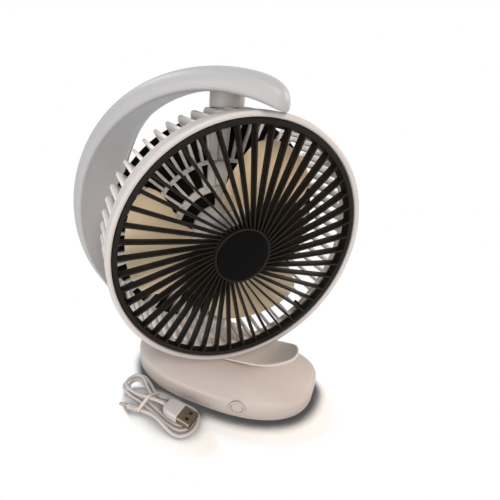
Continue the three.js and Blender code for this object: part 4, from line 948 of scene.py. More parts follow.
def front_grille():
    seat = HUB_FRONT - DISC_RECESS
    hub = rounded(turned([
        (0, -seat), (HUB_RADIUS - HUB_WALL, -seat), (HUB_RADIUS - HUB_WALL, -HUB_FRONT),
        (HUB_RADIUS, -HUB_FRONT), (HUB_RADIUS, -VANE_BACK), (HUB_RADIUS - HUB_WALL, -VANE_BACK),
        (HUB_RADIUS - HUB_WALL, -(seat - HUB_WALL)), (0, -(seat - HUB_WALL)),
    ], 2 * VANE_COUNT), SLIGHT_EDGE, steps=3)
    rim = turned([
        (GRILLE_RIM_INNER, -VANE_BACK), (GRILLE_RIM_INNER, -(VANE_FRONT - RIM_SHOULDER_START)),
        (GRILLE_RIM_INNER + RIM_SHOULDER_IN, -(VANE_FRONT + RIM_SHOULDER_RISE)),
        (GRILLE_RIM_INNER + GRILLE_RIM_WIDTH / 2, -GRILLE_RIM_FRONT),
        (GRILLE_OUTER - RIM_SHOULDER_IN, -(VANE_FRONT + RIM_SHOULDER_RISE)),
        (GRILLE_OUTER, -(VANE_FRONT - RIM_SHOULDER_START)),
        (GRILLE_OUTER, -VANE_BACK),
    ], ROUND_SEGMENTS)
    clip_outer = COLLAR_INNER - 2 * GAP
    clip_root = GRILLE_RIM_INNER + GRILLE_RIM_WIDTH / 3
    clip = rounded(plate([
        (clip_outer - CLIP_THICK, -(VANE_BACK - CLIP_REACH)), (clip_outer, -(VANE_BACK - CLIP_REACH)),
        (clip_outer, -VANE_BACK), (clip_root, -VANE_BACK), (clip_root, -(VANE_BACK + CLIP_THICK)),
        (clip_outer - CLIP_THICK, -(VANE_BACK + CLIP_THICK)),
    ], CLIP_WIDTH), FINE_EDGE)
    shape = joined(hub, rim, copies_round(vane(), VANE_COUNT, VANE_PHASE),
                   copies_round(clip, CLIP_COUNT, CLIP_ANGLE))
    return piece("spiral_front_grille", shape, HEAD, "head", GRILLE_BLACK,
                 ["front_grille"])


def centre_disc():
    back = HUB_FRONT - DISC_RECESS + GAP / 2
    front = back + DISC_THICK
    radius = HUB_RADIUS - HUB_WALL - GAP / 2

    def dome_point(share):
        return radius * share, -(front + DISC_RISE * (1 - share ** 2))

    shape = turned([
        *(dome_point(step / DISC_STEPS) for step in range(DISC_STEPS)),
        dome_point(1 - DISC_EDGE / radius),
        (radius - DISC_EDGE * DISC_EDGE_SHARES[0], -(front - DISC_EDGE * DISC_EDGE_SHARES[1])),
        (radius, -(front - DISC_EDGE)),
        (radius, -back), (0, -back),
    ], DISC_SEGMENTS)
    return piece("plain_centre_disc", shape, HEAD, "head", DISC_BLACK, ["grille_badge"])


def cage_rib():
    inside = RIB_OUTER - RIB_DEPTH
    heel = inside + RIB_THICK / 2
    flange_middle = RING_BACK - GAP - FLANGE_THICK * 3 / 4
    front = CAGE_BACK - BAR_DEPTH
    foot = MID_RING[0] + MID_RING[1] / 4
    shape = plate([
        (inside, -flange_middle), (RIB_OUTER - GAP, -flange_middle), (RIB_OUTER, -BAR_DEPTH / 2),
        *((RIB_OUTER - inward, back) for inward, back in RIB_BEND),
        *((heel + outward, CAGE_BACK - ahead) for outward, ahead in RIB_HEEL),
        (foot, CAGE_BACK), (foot, front), (inside - RIB_THICK / 2, front),
        (inside, front - RIB_THICK / 2),
    ], RIB_THICK)
    return rounded(shape, PLAIN_EDGE, sharpest=RIB_SHARP)


def rear_cage():
    flange_front = RING_BACK - GAP
    flange_back = flange_front - FLANGE_THICK
    bar_front = CAGE_BACK - BAR_DEPTH
    cup_inner = CAN_RADIUS + GAP

    def flat_ring(inner, width):
        return rounded(turned([
            (inner, bar_front), (inner + width, bar_front), (inner + width, CAGE_BACK),
            (inner, CAGE_BACK),
        ], ROUND_SEGMENTS), PLAIN_EDGE)

    flange = rounded(turned([
        (COLLAR_INNER, -(LEDGE_BACK - GAP)), (GRILLE_OUTER, -(LEDGE_BACK - GAP)),
        (GRILLE_OUTER, -flange_front), (RIB_OUTER, -flange_front), (RIB_OUTER, -flange_back),
        (COLLAR_INNER, -flange_back),
    ], ROUND_SEGMENTS), FINE_EDGE)
    cup = rounded(turned([
        (0, CUP_FLOOR_BACK - CUP_FLOOR_THICK), (cup_inner, CUP_FLOOR_BACK - CUP_FLOOR_THICK),
        (cup_inner, -CUP_FRONT), (cup_inner + CUP_WALL, -CUP_FRONT),
        (cup_inner + CUP_WALL, CUP_FLOOR_BACK), (0, CUP_FLOOR_BACK),
    ], DISC_SEGMENTS), DEEP_EDGE, steps=3)

    def bar(inner, outer, width):
        return rounded(block((inner, bar_front, -width / 2), (outer, CAGE_BACK, width / 2)), PLAIN_EDGE)

    ring_middle = INNER_RING[0] + INNER_RING[1] / 2
    bars = copies_round(bar(ring_middle, MID_RING[0] + MID_RING[1] / 2, RIB_THICK), WINDOW_BARS)
    spoke = bar(cup_inner + CUP_WALL / 2, ring_middle, SPOKE_WIDTH)
    spokes = copies_round(spoke, SPOKE_COUNT, math.pi / 2)
    strip = rounded(block((-STRIP_LEFT, bar_front, ring_middle),
                          (STRIP_RIGHT, bar_front + STRIP_DEPTH, RIB_OUTER - RIB_DEPTH / 2)), FINE_EDGE)
    ribs = copies_round(cage_rib(), RIB_COUNT, FULL_TURN / RIB_COUNT / 2)
    bosses = []
    for side in (1, -1):
        bosses.append(rounded(upright([
            (PIN_RADIUS + BORE_CLEAR, side * BOSS_INNER), (BOSS_RADIUS, side * BOSS_INNER),
            (BOSS_RADIUS, side * BOSS_OUTER), (PIN_RADIUS + BORE_CLEAR, side * BOSS_OUTER),
        ], SMALL_SEGMENTS), SOFT_EDGE, steps=3))
    shape = joined(flange, flat_ring(*MID_RING), flat_ring(*INNER_RING), cup, bars, spokes, strip, ribs,
                   *bosses)
    return piece("rear_cage_moulding", shape, HEAD, "head", CAGE_WHITE, ["rear_cage"])


def rear_shade_sheet():
    """The black that shows between the rear cage's bars: a thin black sheet held between them, painted
    shade that stands in for the dark seen through the openings.
    """
    back = CAGE_BACK - SHADE_SHEET_INSET
    inner = CAN_RADIUS + GAP + CUP_WALL - SEAT_GAP
    outer = RIB_OUTER - RIB_DEPTH + SEAT_GAP
    shape = turned([
        (inner, back - SHADE_SHEET_THICK), (outer, back - SHADE_SHEET_THICK), (outer, back), (inner, back),
    ], ROUND_SEGMENTS)
    return piece("rear_painted_shade_sheet", shape, HEAD, "head", SHADE_SHEET_BLACK)


front_ring()
front_grille()
centre_disc()
rear_cage()
rear_shade_sheet()

# Impeller
BLADE_COUNT = 3
BLADE_TIP = 65.5
BLADE_THICK = 1.5
BLADE_MIDDLE = 17
BLADE_PITCH = (5.5, 8.5)
BLADE_TRAILING = ((0, -18), (0.3, -24), (0.55, -33), (0.8, -37), (1, -36))
BLADE_LEADING = ((0, 51), (0.3, 46), (0.55, 38), (0.8, 30.5), (1, 25))
BLADE_OUT_STEPS = 16
BLADE_CHORD_STEPS = 24
BLADE_SHEET_SHARE = 0.8
TIP_CORNER_SHARE = 0.085
IMPELLER_RADIUS = 23
IMPELLER_FRONT = 21.6
IMPELLER_BACK = 10.5
IMPELLER_WALL = 1.7
IMPELLER_BOSS = (4.5, 12.2)
SHAFT_RADIUS = 1.5
SHAFT_FRONT = 19.4
CAP_THICK = 1.5
CAP_RISE = 0.9
CAP_STEPS = 10
CAP_DOME_SHARE = 0.93
# Shares of the cap's radius and thickness round its edge
CAP_EDGE_SHARES = ((0.985, 0.72), (1, 0.4), (1, 0))


def eased(rows, place):
    """Reads a table of [place, value], eased at every row."""
    if place <= rows[0][0]:
        return rows[0][1]
    for k in range(len(rows) - 1):
        (a0, v0), (a1, v1) = rows[k], rows[k + 1]
        if place <= a1:
            span = a1 - a0
            before = (v1 - v0) / span
            after = before
            if k > 0:
                before = (v1 - rows[k - 1][1]) / (a1 - rows[k - 1][0])
            if k + 2 < len(rows):
                after = (rows[k + 2][1] - v0) / (rows[k + 2][0] - a0)
            s = (place - a0) / span
            return (v0 * (2 * s ** 3 - 3 * s ** 2 + 1) + before * span * (s ** 3 - 2 * s ** 2 + s)
                    + v1 * (3 * s ** 2 - 2 * s ** 3) + after * span * (s ** 3 - s ** 2))
    return rows[-1][1]


def impeller_blade():
    shape = bmesh.new()
    bmesh.ops.create_grid(shape, x_segments=BLADE_OUT_STEPS, y_segments=BLADE_CHORD_STEPS, size=0.5)
    root = IMPELLER_RADIUS - IMPELLER_WALL / 2
    for vert in shape.verts:
        out = vert.co.x + 0.5
        along = vert.co.y + 0.5
        start = math.radians(eased(BLADE_TRAILING, out))
        end = math.radians(eased(BLADE_LEADING, out))
        pitch = BLADE_PITCH[0] + (BLADE_PITCH[1] - BLADE_PITCH[0]) * out
        tip = BLADE_TIP * (1 - TIP_CORNER_SHARE * abs(2 * along - 1) ** 4)
        radius = root + (tip - root) * out
        angle = start + (end - start) * along
        depth = -BLADE_MIDDLE - pitch * (2 * along - 1) - math.sin(math.pi * along) * BLADE_THICK
        vert.co = Vector((radius * math.cos(angle), depth, radius * math.sin(angle)))
    bmesh.ops.recalc_face_normals(shape, faces=shape.faces)
    thick = BLADE_SHEET_SHARE * BLADE_THICK
    for vert in shape.verts:
        vert.co.y -= thick / 2
    bmesh.ops.solidify(shape, geom=shape.faces[:], thickness=thick)
    bmesh.ops.recalc_face_normals(shape, faces=shape.faces)
    return rounded(shape, SLIGHT_EDGE, sharpest=BLUNT)


def impeller():
    inside = IMPELLER_FRONT - IMPELLER_WALL
    bore = SHAFT_RADIUS + SEAT_GAP
    hub = rounded(turned([
        (0, -IMPELLER_FRONT), (IMPELLER_RADIUS, -IMPELLER_FRONT), (IMPELLER_RADIUS, -IMPELLER_BACK),
        (IMPELLER_RADIUS - IMPELLER_WALL, -IMPELLER_BACK), (IMPELLER_RADIUS - IMPELLER_WALL, -inside),
        (IMPELLER_BOSS[0], -inside), (IMPELLER_BOSS[0], -IMPELLER_BOSS[1]), (bore, -IMPELLER_BOSS[1]),
        (bore, -(SHAFT_FRONT + SEAT_GAP)), (0, -(SHAFT_FRONT + SEAT_GAP)),
    ], DISC_SEGMENTS), PLAIN_EDGE, steps=3)
    piece("impeller_hub", hub, HEAD, "rotor", CAP_GREY)
    blades = copies_round(impeller_blade(), BLADE_COUNT, math.pi)
    return piece("impeller_blades", blades, HEAD, "rotor", BLADE_BEIGE, ["impeller"])


def impeller_cap():
    back = IMPELLER_FRONT + GAP
    edge = IMPELLER_RADIUS - IMPELLER_WALL / 2 - GAP
    dome = [
        (edge * CAP_DOME_SHARE * share, -(back + CAP_THICK + CAP_RISE * (1 - share ** 2)))
        for share in (step / CAP_STEPS for step in range(CAP_STEPS + 1))
    ]
    side = [(edge * out, -(back + CAP_THICK * high)) for out, high in CAP_EDGE_SHARES]
    shape = turned([*dome, *side, (0, -back)], DISC_SEGMENTS)
    return piece("impeller_hub_cap", shape, HEAD, "rotor", CAP_GREY, ["impeller_cap"])


impeller()
impeller_cap()

# Crescent arm
ARM_INNER = 85.2
ARM_WIDEST = 11.3
ARM_FRONT = 34
ARM_DEPTH = 58
ARM_GROWTH = 3.6
ARM_WALL = 1.8
COVER_THICK = 1.8
STUB_INNER = 76.7
WASHER_RADIUS = 8
WASHER_THICK = 0.9
DUCT_FRONT = 5
DUCT_WIDTH = 9
DUCT_OUTER = 90.4
KNUCKLE_RADIUS = 4.6
KNUCKLE_HALF = 8
HINGE_PIN_RADIUS = 1.75
# Degrees round the head between which the source's arm is hollow, and how far the cover stays inside
HOLLOW = (78, 196)
COVER_INSET_DEG = 1
# Each table holds the angle round the head and the share of the size there
INNER_SHARES = ((64, 0), (255, 0), (270, 0), (290, 1 / 3.6), (296, 0.62), (302, 0.95), (308, 1),
                (317.2, 1))
WIDTH_SHARES = ((64.2, 0.16), (65.2, 0.42), (66.6, 0.66), (68.5, 0.84), (71, 0.95), (75, 1), (90, 1),
                (160, 1), (178, 0.9), (195, 0.66), (212, 0.44), (230, 0.29), (255, 0.225), (270, 0.225),
                (285, 0.23), (296, 0.28), (308, 0.32), (314, 0.28), (316.4, 0.19), (317.2, 0.1))
FRONT_SHARES = ((64.2, 0.74), (65.2, 0.87), (66.6, 0.95), (69, 1), (180, 1), (195, 0.97), (215, 0.83),
                (240, 0.76), (270, 0.76), (285, 0.82), (300, 0.92), (312, 0.96), (315.5, 0.95),
                (316.6, 0.9), (317.2, 0.83))
BACK_SHARES = ((64.2, -0.36), (66, -0.27), (70, -0.13), (75, 0), (82, 0.13), (90, 0.2), (108, 0.17),
               (123, 0.16), (138, 0.27), (150, 0.37), (170, 0.41), (215, 0.38), (245, 0.31), (270, 0.29),
               (285, 0.2), (298, 0.04), (306, -0.1), (311, -0.2), (315.5, -0.31), (316.8, -0.4),
               (317.2, -0.46))
SECTION_SHARES = ((0, 1), (0, 0.55), (0, 0.12), (0, 0.06), (0.035, 0.02), (0.11, 0.002), (0.24, 0),
                  (0.52, 0.005), (0.8, 0.045), (0.96, 0.125), (1, 0.24), (0.99, 0.42), (0.95, 0.66),
                  (0.87, 0.86), (0.78, 1))
TIP_STATIONS = (64.2, 64.6, 65.2, 66, 67.2, 69)
HORN_STATIONS = (311, 313, 315, 316.2, 316.9, 317.2)
ARM_STEP = 3
MIDDLE_STATIONS = (72, 308)
HOLLOW_SHARE = 0.76
DUCT_OVERLAP = 8
DUCT_END = 266


def arm_point(degrees, radius, y):
    angle = math.radians(degrees)
    return Vector((radius * math.cos(angle), y, radius * math.sin(angle)))


def arm_sizes(degrees):
    inner = ARM_INNER + ARM_GROWTH * eased(INNER_SHARES, degrees)
    width = ARM_WIDEST * eased(WIDTH_SHARES, degrees)
    front = -ARM_FRONT * eased(FRONT_SHARES, degrees)
    back = ARM_DEPTH * eased(BACK_SHARES, degrees)
    return inner, width, front, back


def arm_section(degrees):
    inner, width, front, back = arm_sizes(degrees)
    return [
        arm_point(degrees, inner + width * out, front + (back - front) * deep)
        for out, deep in SECTION_SHARES
    ]


def stations(start, end, step):
    count = math.ceil((end - start) / step)
    return [start + (end - start) * k / count for k in range(count + 1)]


def crescent_arm():
    angles = [*TIP_STATIONS, *stations(*MIDDLE_STATIONS, ARM_STEP), *HORN_STATIONS]
    shape = swept([arm_section(angle) for angle in angles])
    return softened(piece("crescent_arm", shape, ARM, "arm", ARM_WHITE, ["arm_shell"],
                          sharp=math.pi), levels=2)


def back_cover():
    sections = []
    for angle in stations(HOLLOW[0] + COVER_INSET_DEG, HOLLOW[1] - COVER_INSET_DEG, ARM_STEP):
        inner, width, front, back = arm_sizes(angle)
        low = inner + ARM_WALL + GAP
        high = inner + ARM_WALL + width * HOLLOW_SHARE - 2 * ARM_WALL - GAP
        sections.append([
            arm_point(angle, low, back - GAP), arm_point(angle, low, back - COVER_THICK),
            arm_point(angle, high, back - COVER_THICK), arm_point(angle, high, back - GAP),
        ])
    shape = rounded(swept(sections), FINE_EDGE)
    return piece("arm_rear_cover", shape, ARM, "arm", ARM_WHITE, ["arm_back_cover"])


def arm_fittings():
    """The two swivel stubs, the wire duct and the hinge knuckle, moulded with the arm."""
    seat = PIN_RADIUS + SEAT_GAP
    recess = WASHER_RADIUS + GAP
    stub_outer = ARM_INNER + ARM_WALL / 2
    stubs = []
    for side in (1, -1):
        stubs.append(rounded(upright([
            (seat, side * (STUB_INNER + WASHER_THICK)), (recess, side * (STUB_INNER + WASHER_THICK)),
            (recess, side * STUB_INNER), (BOSS_RADIUS, side * STUB_INNER),
            (BOSS_RADIUS, side * stub_outer), (seat, side * stub_outer),
        ], SMALL_SEGMENTS), FINE_EDGE, steps=3))
    duct_inner = ARM_INNER + ARM_WALL / 4
    duct_back = DUCT_FRONT + DUCT_WIDTH
    duct = rounded(swept([
        [arm_point(angle, duct_inner, duct_back), arm_point(angle, duct_inner, DUCT_FRONT),
         arm_point(angle, DUCT_OUTER, DUCT_FRONT), arm_point(angle, DUCT_OUTER, duct_back)]
        for angle in stations(HOLLOW[1] - DUCT_OVERLAP, DUCT_END, ARM_STEP)
    ]), DEEP_EDGE, steps=3)
    hinge_z = HINGE_HEIGHT - HEAD_HEIGHT
    bore = HINGE_PIN_RADIUS + BORE_CLEAR
    knuckle = moved(rounded(across([
        (bore, -KNUCKLE_HALF), (KNUCKLE_RADIUS, -KNUCKLE_HALF), (KNUCKLE_RADIUS, KNUCKLE_HALF),
        (bore, KNUCKLE_HALF),
    ], SMALL_SEGMENTS), PLAIN_EDGE, steps=3), Matrix.Translation((0, HINGE_BACK, hinge_z)))
    web = rounded(block((-KNUCKLE_HALF, HINGE_BACK - KNUCKLE_HALF, hinge_z),
                        (KNUCKLE_HALF, HINGE_BACK + KNUCKLE_RADIUS / 2, -stub_outer)), SOFT_EDGE, steps=3)
    shape = joined(*stubs, duct, knuckle, web)
    return piece("arm_fittings", shape, ARM, "arm", STUB_WHITE)


crescent_arm()
back_cover()
arm_fittings()

# Base
BASE_CENTRE_X = 12.7
BASE_HALF_LENGTH = 69.5
BASE_FRONT_HALF = 48
BASE_REAR_HALF = 28
BASE_EXPONENT = 2.48
BASE_BOTTOM = 0.6
BASE_SPLIT = 3
BASE_BOTTOM_INSET = 1.2
BASE_WALL_TOP = 11.6
BASE_CORNER = 5
CORNER_STEP_DEG = 8
# Where the corner's slope has eased to that of the dome
SHOULDER_DEG = 55
BASE_CROWN = 26.6
CROWN_PLACE = (15, -22)
DOME_POWER = 1.9
DOME_SHARES = (1, 0.97, 0.93, 0.88, 0.82, 0.75, 0.67, 0.59, 0.51, 0.43, 0.35, 0.27, 0.19, 0.12, 0.06,
               0.02)
PARTING_EDGE = 0.25
# The rounded foot of the lower shell: how far in from the wall, and how far above its underside
BASE_FOOT = ((BASE_BOTTOM_INSET, 0), (0.5, 0.35), (0.1, 0.8), (0, BASE_BOTTOM_INSET))
BASE_WALL = 2.2
PAD_HALF_LENGTH = 38
PAD_FRONT_HALF = 33
PAD_REAR_HALF = 15
PAD_THICK = 1.5
OUTLINE_STEPS = 160
EAR_INNER = 9.4
EAR_OUTER = 15.4
SLOT_FLOOR = 15.4
BUTTON_X = 35
BUTTON_HEIGHT = 9.4
BEZEL_RADIUS = 5.8
BEZEL_WIDTH = 1.5
BEZEL_PROUD = 0.35
BEZEL_GROOVE = 0.22
BUTTON_RADIUS = 3.95
BUTTON_THICK = 1.8
STEM = (1.5, 1.4)
KEY_STEPS = 8
KEY_DISH = 0.12
KEY_DISH_SHARE = 0.86
KEY_EDGE_SHARE = 0.95
# Where the bezel's face starts to round over, and how proud it stands there as a share
BEZEL_LIP = 0.3
BEZEL_LIP_SHARE = 0.85
BEZEL_SIDE_SHARE = 0.35
JACK_X = 45
JACK_HEIGHT = 7.4
JACK_BORE = 1.8


def oval(half_length, front_half, rear_half, z):
    points = []
    for step in range(OUTLINE_STEPS):
        angle = FULL_TURN * step / OUTLINE_STEPS
        c = math.cos(angle)
        s = math.sin(angle)
        half = rear_half if s > 0 else front_half
        x = math.copysign(abs(c) ** (2 / BASE_EXPONENT), c) * half_length
        y = math.copysign(abs(s) ** (2 / BASE_EXPONENT), s) * half
        points.append(Vector((BASE_CENTRE_X + x, y, z)))
    return points


def base_ring(inset, z):
    return oval(BASE_HALF_LENGTH - inset, BASE_FRONT_HALF - inset, BASE_REAR_HALF - inset, z)


def base_corner(degrees):
    turn = math.radians(degrees)
    return BASE_CORNER * (1 - math.cos(turn)), BASE_WALL_TOP + BASE_CORNER * math.sin(turn)


def base_skin():
    parting = BASE_SPLIT + GAP / 2
    rings = [base_ring(PARTING_EDGE, parting), base_ring(0, parting + PARTING_EDGE),
             base_ring(0, (BASE_SPLIT + BASE_WALL_TOP) / 2), base_ring(0, BASE_WALL_TOP)]
    for degrees in range(CORNER_STEP_DEG, SHOULDER_DEG, CORNER_STEP_DEG):
        rings.append(base_ring(*base_corner(degrees)))
    inset, shoulder_z = base_corner(SHOULDER_DEG)
    shoulder = base_ring(inset, 0)
    crown_x, crown_y = CROWN_PLACE
    for share in DOME_SHARES:
        z = shoulder_z + (BASE_CROWN - shoulder_z) * (1 - share ** DOME_POWER)
        rings.append([
            Vector((crown_x + (point.x - crown_x) * share, crown_y + (point.y - crown_y) * share, z))
            for point in shoulder
        ])
    return swept(rings)


def wall_place(x, rear, z):
    """Where a piece on the base's wall goes: +Y runs inward from the wall's face."""
    half = BASE_REAR_HALF if rear else BASE_FRONT_HALF
    share = (x - BASE_CENTRE_X) / BASE_HALF_LENGTH
    inner = 1 - abs(share) ** BASE_EXPONENT
    y = half * inner ** (1 / BASE_EXPONENT)
    slope = (half / BASE_HALF_LENGTH * math.copysign(abs(share) ** (BASE_EXPONENT - 1), share)
             * inner ** (1 / BASE_EXPONENT - 1))
    turn = math.pi - math.atan(slope) if rear else math.atan(slope)
    return WORLD @ Matrix.Translation((x, y if rear else -y, z)) @ Matrix.Rotation(turn, 4, "Z")


BUTTON_PLACE = wall_place(BUTTON_X, False, BUTTON_HEIGHT)
JACK_PLACE = wall_place(JACK_X, True, JACK_HEIGHT)


def wall_cutter(radius, depth, segments):
    return turned([(0, -CUT_PAST), (radius, -CUT_PAST), (radius, depth), (0, depth)], segments)


def base_upper():
    slot_half = EAR_INNER - GAP / 2
    slot_front = HINGE_BACK - KNUCKLE_HALF - 2 * GAP
    made = piece("base_upper_moulding", base_skin(), WORLD, "base", BASE_CREAM,
                 ["base_upper_shell"])
    slot = block((-slot_half, slot_front, SLOT_FLOOR),
                 (slot_half, BASE_REAR_HALF + CUT_PAST, BASE_CROWN + 5 * CUT_PAST))
    button_hole = wall_cutter(BEZEL_RADIUS + BEZEL_GROOVE, 2 * BASE_WALL, HOLE_SEGMENTS)
    jack_hole = wall_cutter(JACK_BORE + GAP, BASE_WALL + GAP, PIN_SEGMENTS)
    return holed(made, (slot, WORLD), (button_hole, BUTTON_PLACE), (jack_hole, JACK_PLACE))


def hinge_ears():
    ears = []
    for side in (1, -1):
        low, high = sorted((side * EAR_INNER, side * EAR_OUTER))
        knuckle = moved(rounded(across([
            (HINGE_PIN_RADIUS, low), (KNUCKLE_RADIUS, low), (KNUCKLE_RADIUS, high),
            (HINGE_PIN_RADIUS, high),
        ], SMALL_SEGMENTS), PLAIN_EDGE, steps=3), Matrix.Translation((0, HINGE_BACK, HINGE_HEIGHT)))
        foot = rounded(block((low, HINGE_BACK - KNUCKLE_RADIUS, SLOT_FLOOR - BASE_WALL),
                             (high, HINGE_BACK + KNUCKLE_RADIUS, HINGE_HEIGHT)), PLAIN_EDGE, steps=3)
        ears += [knuckle, foot]
    return piece("hinge_ears", joined(*ears), WORLD, "base", BASE_CREAM)


def base_lower():
    parting = BASE_SPLIT - GAP / 2
    foot = [base_ring(inset, BASE_BOTTOM + above) for inset, above in BASE_FOOT]
    shape = swept([*foot, base_ring(0, parting - PARTING_EDGE), base_ring(PARTING_EDGE, parting)])
    return piece("base_lower_moulding", shape, WORLD, "base", BASE_CREAM,
                 ["base_lower_shell"])


def foot_pad():
    shape = swept([
        oval(PAD_HALF_LENGTH - GAP, PAD_FRONT_HALF - GAP, PAD_REAR_HALF - GAP, 0),
        oval(PAD_HALF_LENGTH, PAD_FRONT_HALF, PAD_REAR_HALF, GAP),
        oval(PAD_HALF_LENGTH, PAD_FRONT_HALF, PAD_REAR_HALF, PAD_THICK),
    ])
    return piece("anti_slip_pad", shape, WORLD, "base", RUBBER, ["foot_pad"])


def power_button():
    inner = BEZEL_RADIUS - BEZEL_WIDTH
    depth = BASE_WALL + GAP
    side = -BEZEL_PROUD * BEZEL_SIDE_SHARE
    lip = -BEZEL_PROUD * BEZEL_LIP_SHARE
    bezel = turned([
        (inner, depth), (inner, side), (inner + BEZEL_LIP, lip), (inner + BEZEL_WIDTH / 2, -BEZEL_PROUD),
        (BEZEL_RADIUS - BEZEL_LIP, lip), (BEZEL_RADIUS, side), (BEZEL_RADIUS, depth),
    ], DISC_SEGMENTS)
    piece("button_surround", bezel, BUTTON_PLACE, "base", BASE_CREAM, ["button_bezel"])
    dish = [
        (BUTTON_RADIUS * KEY_DISH_SHARE * share, -BEZEL_PROUD / 3 + KEY_DISH * (1 - share ** 2))
        for share in (step / KEY_STEPS for step in range(KEY_STEPS + 1))
    ]
    stem_radius, stem_length = STEM
    cap = turned([
        *dish, (BUTTON_RADIUS * KEY_EDGE_SHARE, -BEZEL_PROUD / 6), (BUTTON_RADIUS, GAP / 2),
        (BUTTON_RADIUS, BUTTON_THICK), (stem_radius, BUTTON_THICK),
        (stem_radius, BUTTON_THICK + stem_length), (0, BUTTON_THICK + stem_length),
    ], DISC_SEGMENTS)
    return piece("button_key", cap, BUTTON_PLACE, "button", BASE_CREAM, ["power_button"])


base_upper()
hinge_ears()
base_lower()
foot_pad()
power_button()

# Inner pieces keep their CAD solids and get their finishes
INNER_LOOKS = (
    (STEEL, ("motor_can", "motor_armature", "motor_shaft", "motor_screw_1", "motor_screw_2",
             "motor_screw_3", "upper_pivot_pin", "lower_pivot_pin", "upper_swivel_washer",
             "lower_swivel_washer", "hinge_pin", "hinge_washer_left", "hinge_washer_right",
             "base_screw_1", "base_screw_2", "base_screw_3", "base_screw_4")),
    (INNER_BLACK, ("motor_end_cap", "tact_switch", "charge_jack", "usb_plug_tongue")),
    (BRASS, ("front_bush", "rear_bush")),
    (FERRITE, ("magnet_left", "magnet_right")),
    (SLEEVE_BLUE, ("battery_cell",)),
    (BOARD_GREEN, ("circuit_board",)),
)
for look, names in INNER_LOOKS:
    for name in names:
        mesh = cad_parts[name].data
        mesh.materials.clear()
        mesh.materials.append(look)

# Studio
FLOOR_RADIUS = 3.0
FLOOR_WHITE = (0.96, 0.985, 1.0, 1)
CONTACT_REACH = 0.011
# Ovals inside which the floor shows its shadows: middle, half sizes and turn
BASE_SHADE = ((0.0215, -0.0175, 0), (0.070, 0.0435, 1), 0.0)
LEAD_SHADE = ((-0.008, -0.066, 0), (0.036, 0.0165, 1), math.radians(-14))
SHADE_FADE = 1.16
SHADE_LEFT = 0.06
# Contact shadow: how closed in the floor is where it starts and ends, and how light it stays
CONTACT_RANGE = (0.68, 1.0)
LEAD_BLEND = (0.9, 1.15)
LEAD_DARKEST = 0.45
BASE_DARKEST = 0.02
FLOOR_DROP = 0.0001


def ray_mask(tree):
    rays = node(tree, "ShaderNodeLightPath").outputs
    seen = sums(tree, "MAXIMUM", rays["Is Camera Ray"], rays["Is Glossy Ray"])
    return sums(tree, "MAXIMUM", seen, rays["Is Transmission Ray"])


def oval_distance(tree, place, middle, half_sizes, turn):
    """One on the oval's edge, and growing away from it."""
    local = node(tree, "ShaderNodeMapping", vector_type="TEXTURE")
    put(tree, local, "Vector", place)
    put(tree, local, "Location", middle)
    put(tree, local, "Rotation", (0, 0, turn))
    put(tree, local, "Scale", half_sizes)
    reach = node(tree, "ShaderNodeVectorMath", operation="LENGTH")
    put(tree, reach, 0, local.outputs["Vector"])
    return reach.outputs["Value"]


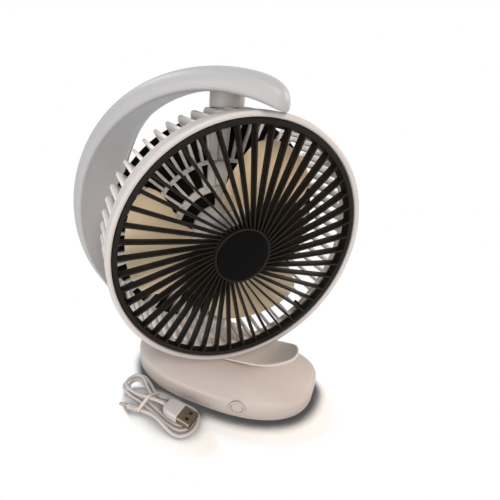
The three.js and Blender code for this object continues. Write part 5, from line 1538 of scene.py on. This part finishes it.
def studio_floor():
    shape = bmesh.new()
    bmesh.ops.create_circle(shape, cap_ends=True, segments=DISC_SEGMENTS, radius=FLOOR_RADIUS)
    mesh = bpy.data.meshes.new("studio_floor")
    shape.to_mesh(mesh)
    shape.free()
    look = bpy.data.materials.new("studio_floor")
    look.use_nodes = True
    tree = look.node_tree
    shader = tree.nodes["Principled BSDF"]
    open_sky = node(tree, "ShaderNodeAmbientOcclusion", samples=8)
    put(tree, open_sky, "Distance", CONTACT_REACH)
    put(tree, shader, "Roughness", 0.9)
    put(tree, shader, "Specular IOR Level", 0.0)
    place = node(tree, "ShaderNodeTexCoord").outputs["Object"]
    lead_away = oval_distance(tree, place, *LEAD_SHADE)
    nearest = sums(tree, "MINIMUM", oval_distance(tree, place, *BASE_SHADE), lead_away)
    darkest = spread(tree, lead_away, *LEAD_BLEND, LEAD_DARKEST, BASE_DARKEST)
    contact = spread(tree, open_sky.outputs["AO"], *CONTACT_RANGE, darkest, 1.0)
    put(tree, shader, "Base Color", mixed(tree, contact, (0, 0, 0, 1), FLOOR_WHITE))
    away = spread(tree, nearest, 1.0, SHADE_FADE, SHADE_LEFT, 1.0)
    glow = node(tree, "ShaderNodeEmission")
    put(tree, glow, "Color", (1, 1, 1, 1))
    put(tree, glow, "Strength", 1.0)
    blend = node(tree, "ShaderNodeMixShader")
    put(tree, blend, 0, sums(tree, "MULTIPLY", away, ray_mask(tree)))
    tree.links.new(shader.outputs[0], blend.inputs[1])
    tree.links.new(glow.outputs[0], blend.inputs[2])
    tree.links.new(blend.outputs[0], tree.nodes["Material Output"].inputs["Surface"])
    mesh.materials.append(look)
    floor = bpy.data.objects.new("studio_floor", mesh)
    floor.location.z = -FLOOR_DROP
    bpy.context.scene.collection.objects.link(floor)


def studio_world(ambient):
    world = bpy.data.worlds.new("studio_world")
    world.use_nodes = True
    tree = world.node_tree
    dim = tree.nodes["Background"]
    put(tree, dim, "Color", ambient)
    put(tree, dim, "Strength", 1.0)
    bright = node(tree, "ShaderNodeBackground")
    put(tree, bright, "Color", (1, 1, 1, 1))
    put(tree, bright, "Strength", 1.0)
    blend = node(tree, "ShaderNodeMixShader")
    put(tree, blend, 0, ray_mask(tree))
    tree.links.new(dim.outputs[0], blend.inputs[1])
    tree.links.new(bright.outputs[0], blend.inputs[2])
    tree.links.new(blend.outputs[0], tree.nodes["World Output"].inputs["Surface"])
    bpy.context.scene.world = world


def lamp(name, place, aim, size, power, colour):
    data = bpy.data.lights.new(name, "AREA")
    data.shape = "DISK"
    data.size = size
    data.energy = power
    data.color = colour
    made = bpy.data.objects.new(name, data)
    made.location = place
    made.rotation_euler = (Vector(aim) - Vector(place)).to_track_quat("-Z", "Y").to_euler()
    bpy.context.scene.collection.objects.link(made)


AMBIENT = (0.37, 0.37, 0.38, 1)
FAN_MIDDLE = (0, 0, 0.09)
ARM_INSIDE = (-0.07, 0.0, 0.15)
BASE_MIDDLE = (0, 0, 0.04)

studio_floor()
studio_world(AMBIENT)
# Place, what it points at, width, power and colour
lamp("warm_key", (0.55, -0.7, 0.9), FAN_MIDDLE, 0.35, 7.6, (1.0, 0.88, 0.77))
lamp("cool_top", (-0.7, 0.15, 1.05), FAN_MIDDLE, 0.45, 4.2, (0.86, 0.93, 1.0))
lamp("soft_front", (-0.35, -1.0, 0.3), FAN_MIDDLE, 0.6, 4.0, (1.0, 0.95, 0.90))
lamp("inner_warm", (0.45, 0.32, 0.36), ARM_INSIDE, 0.25, 1.6, (1.0, 0.80, 0.66))
lamp("low_fill", (0.35, -0.8, 0.06), BASE_MIDDLE, 0.5, 1.0, (1.0, 0.90, 0.80))

bpy.context.scene.view_settings.view_transform = "Standard"
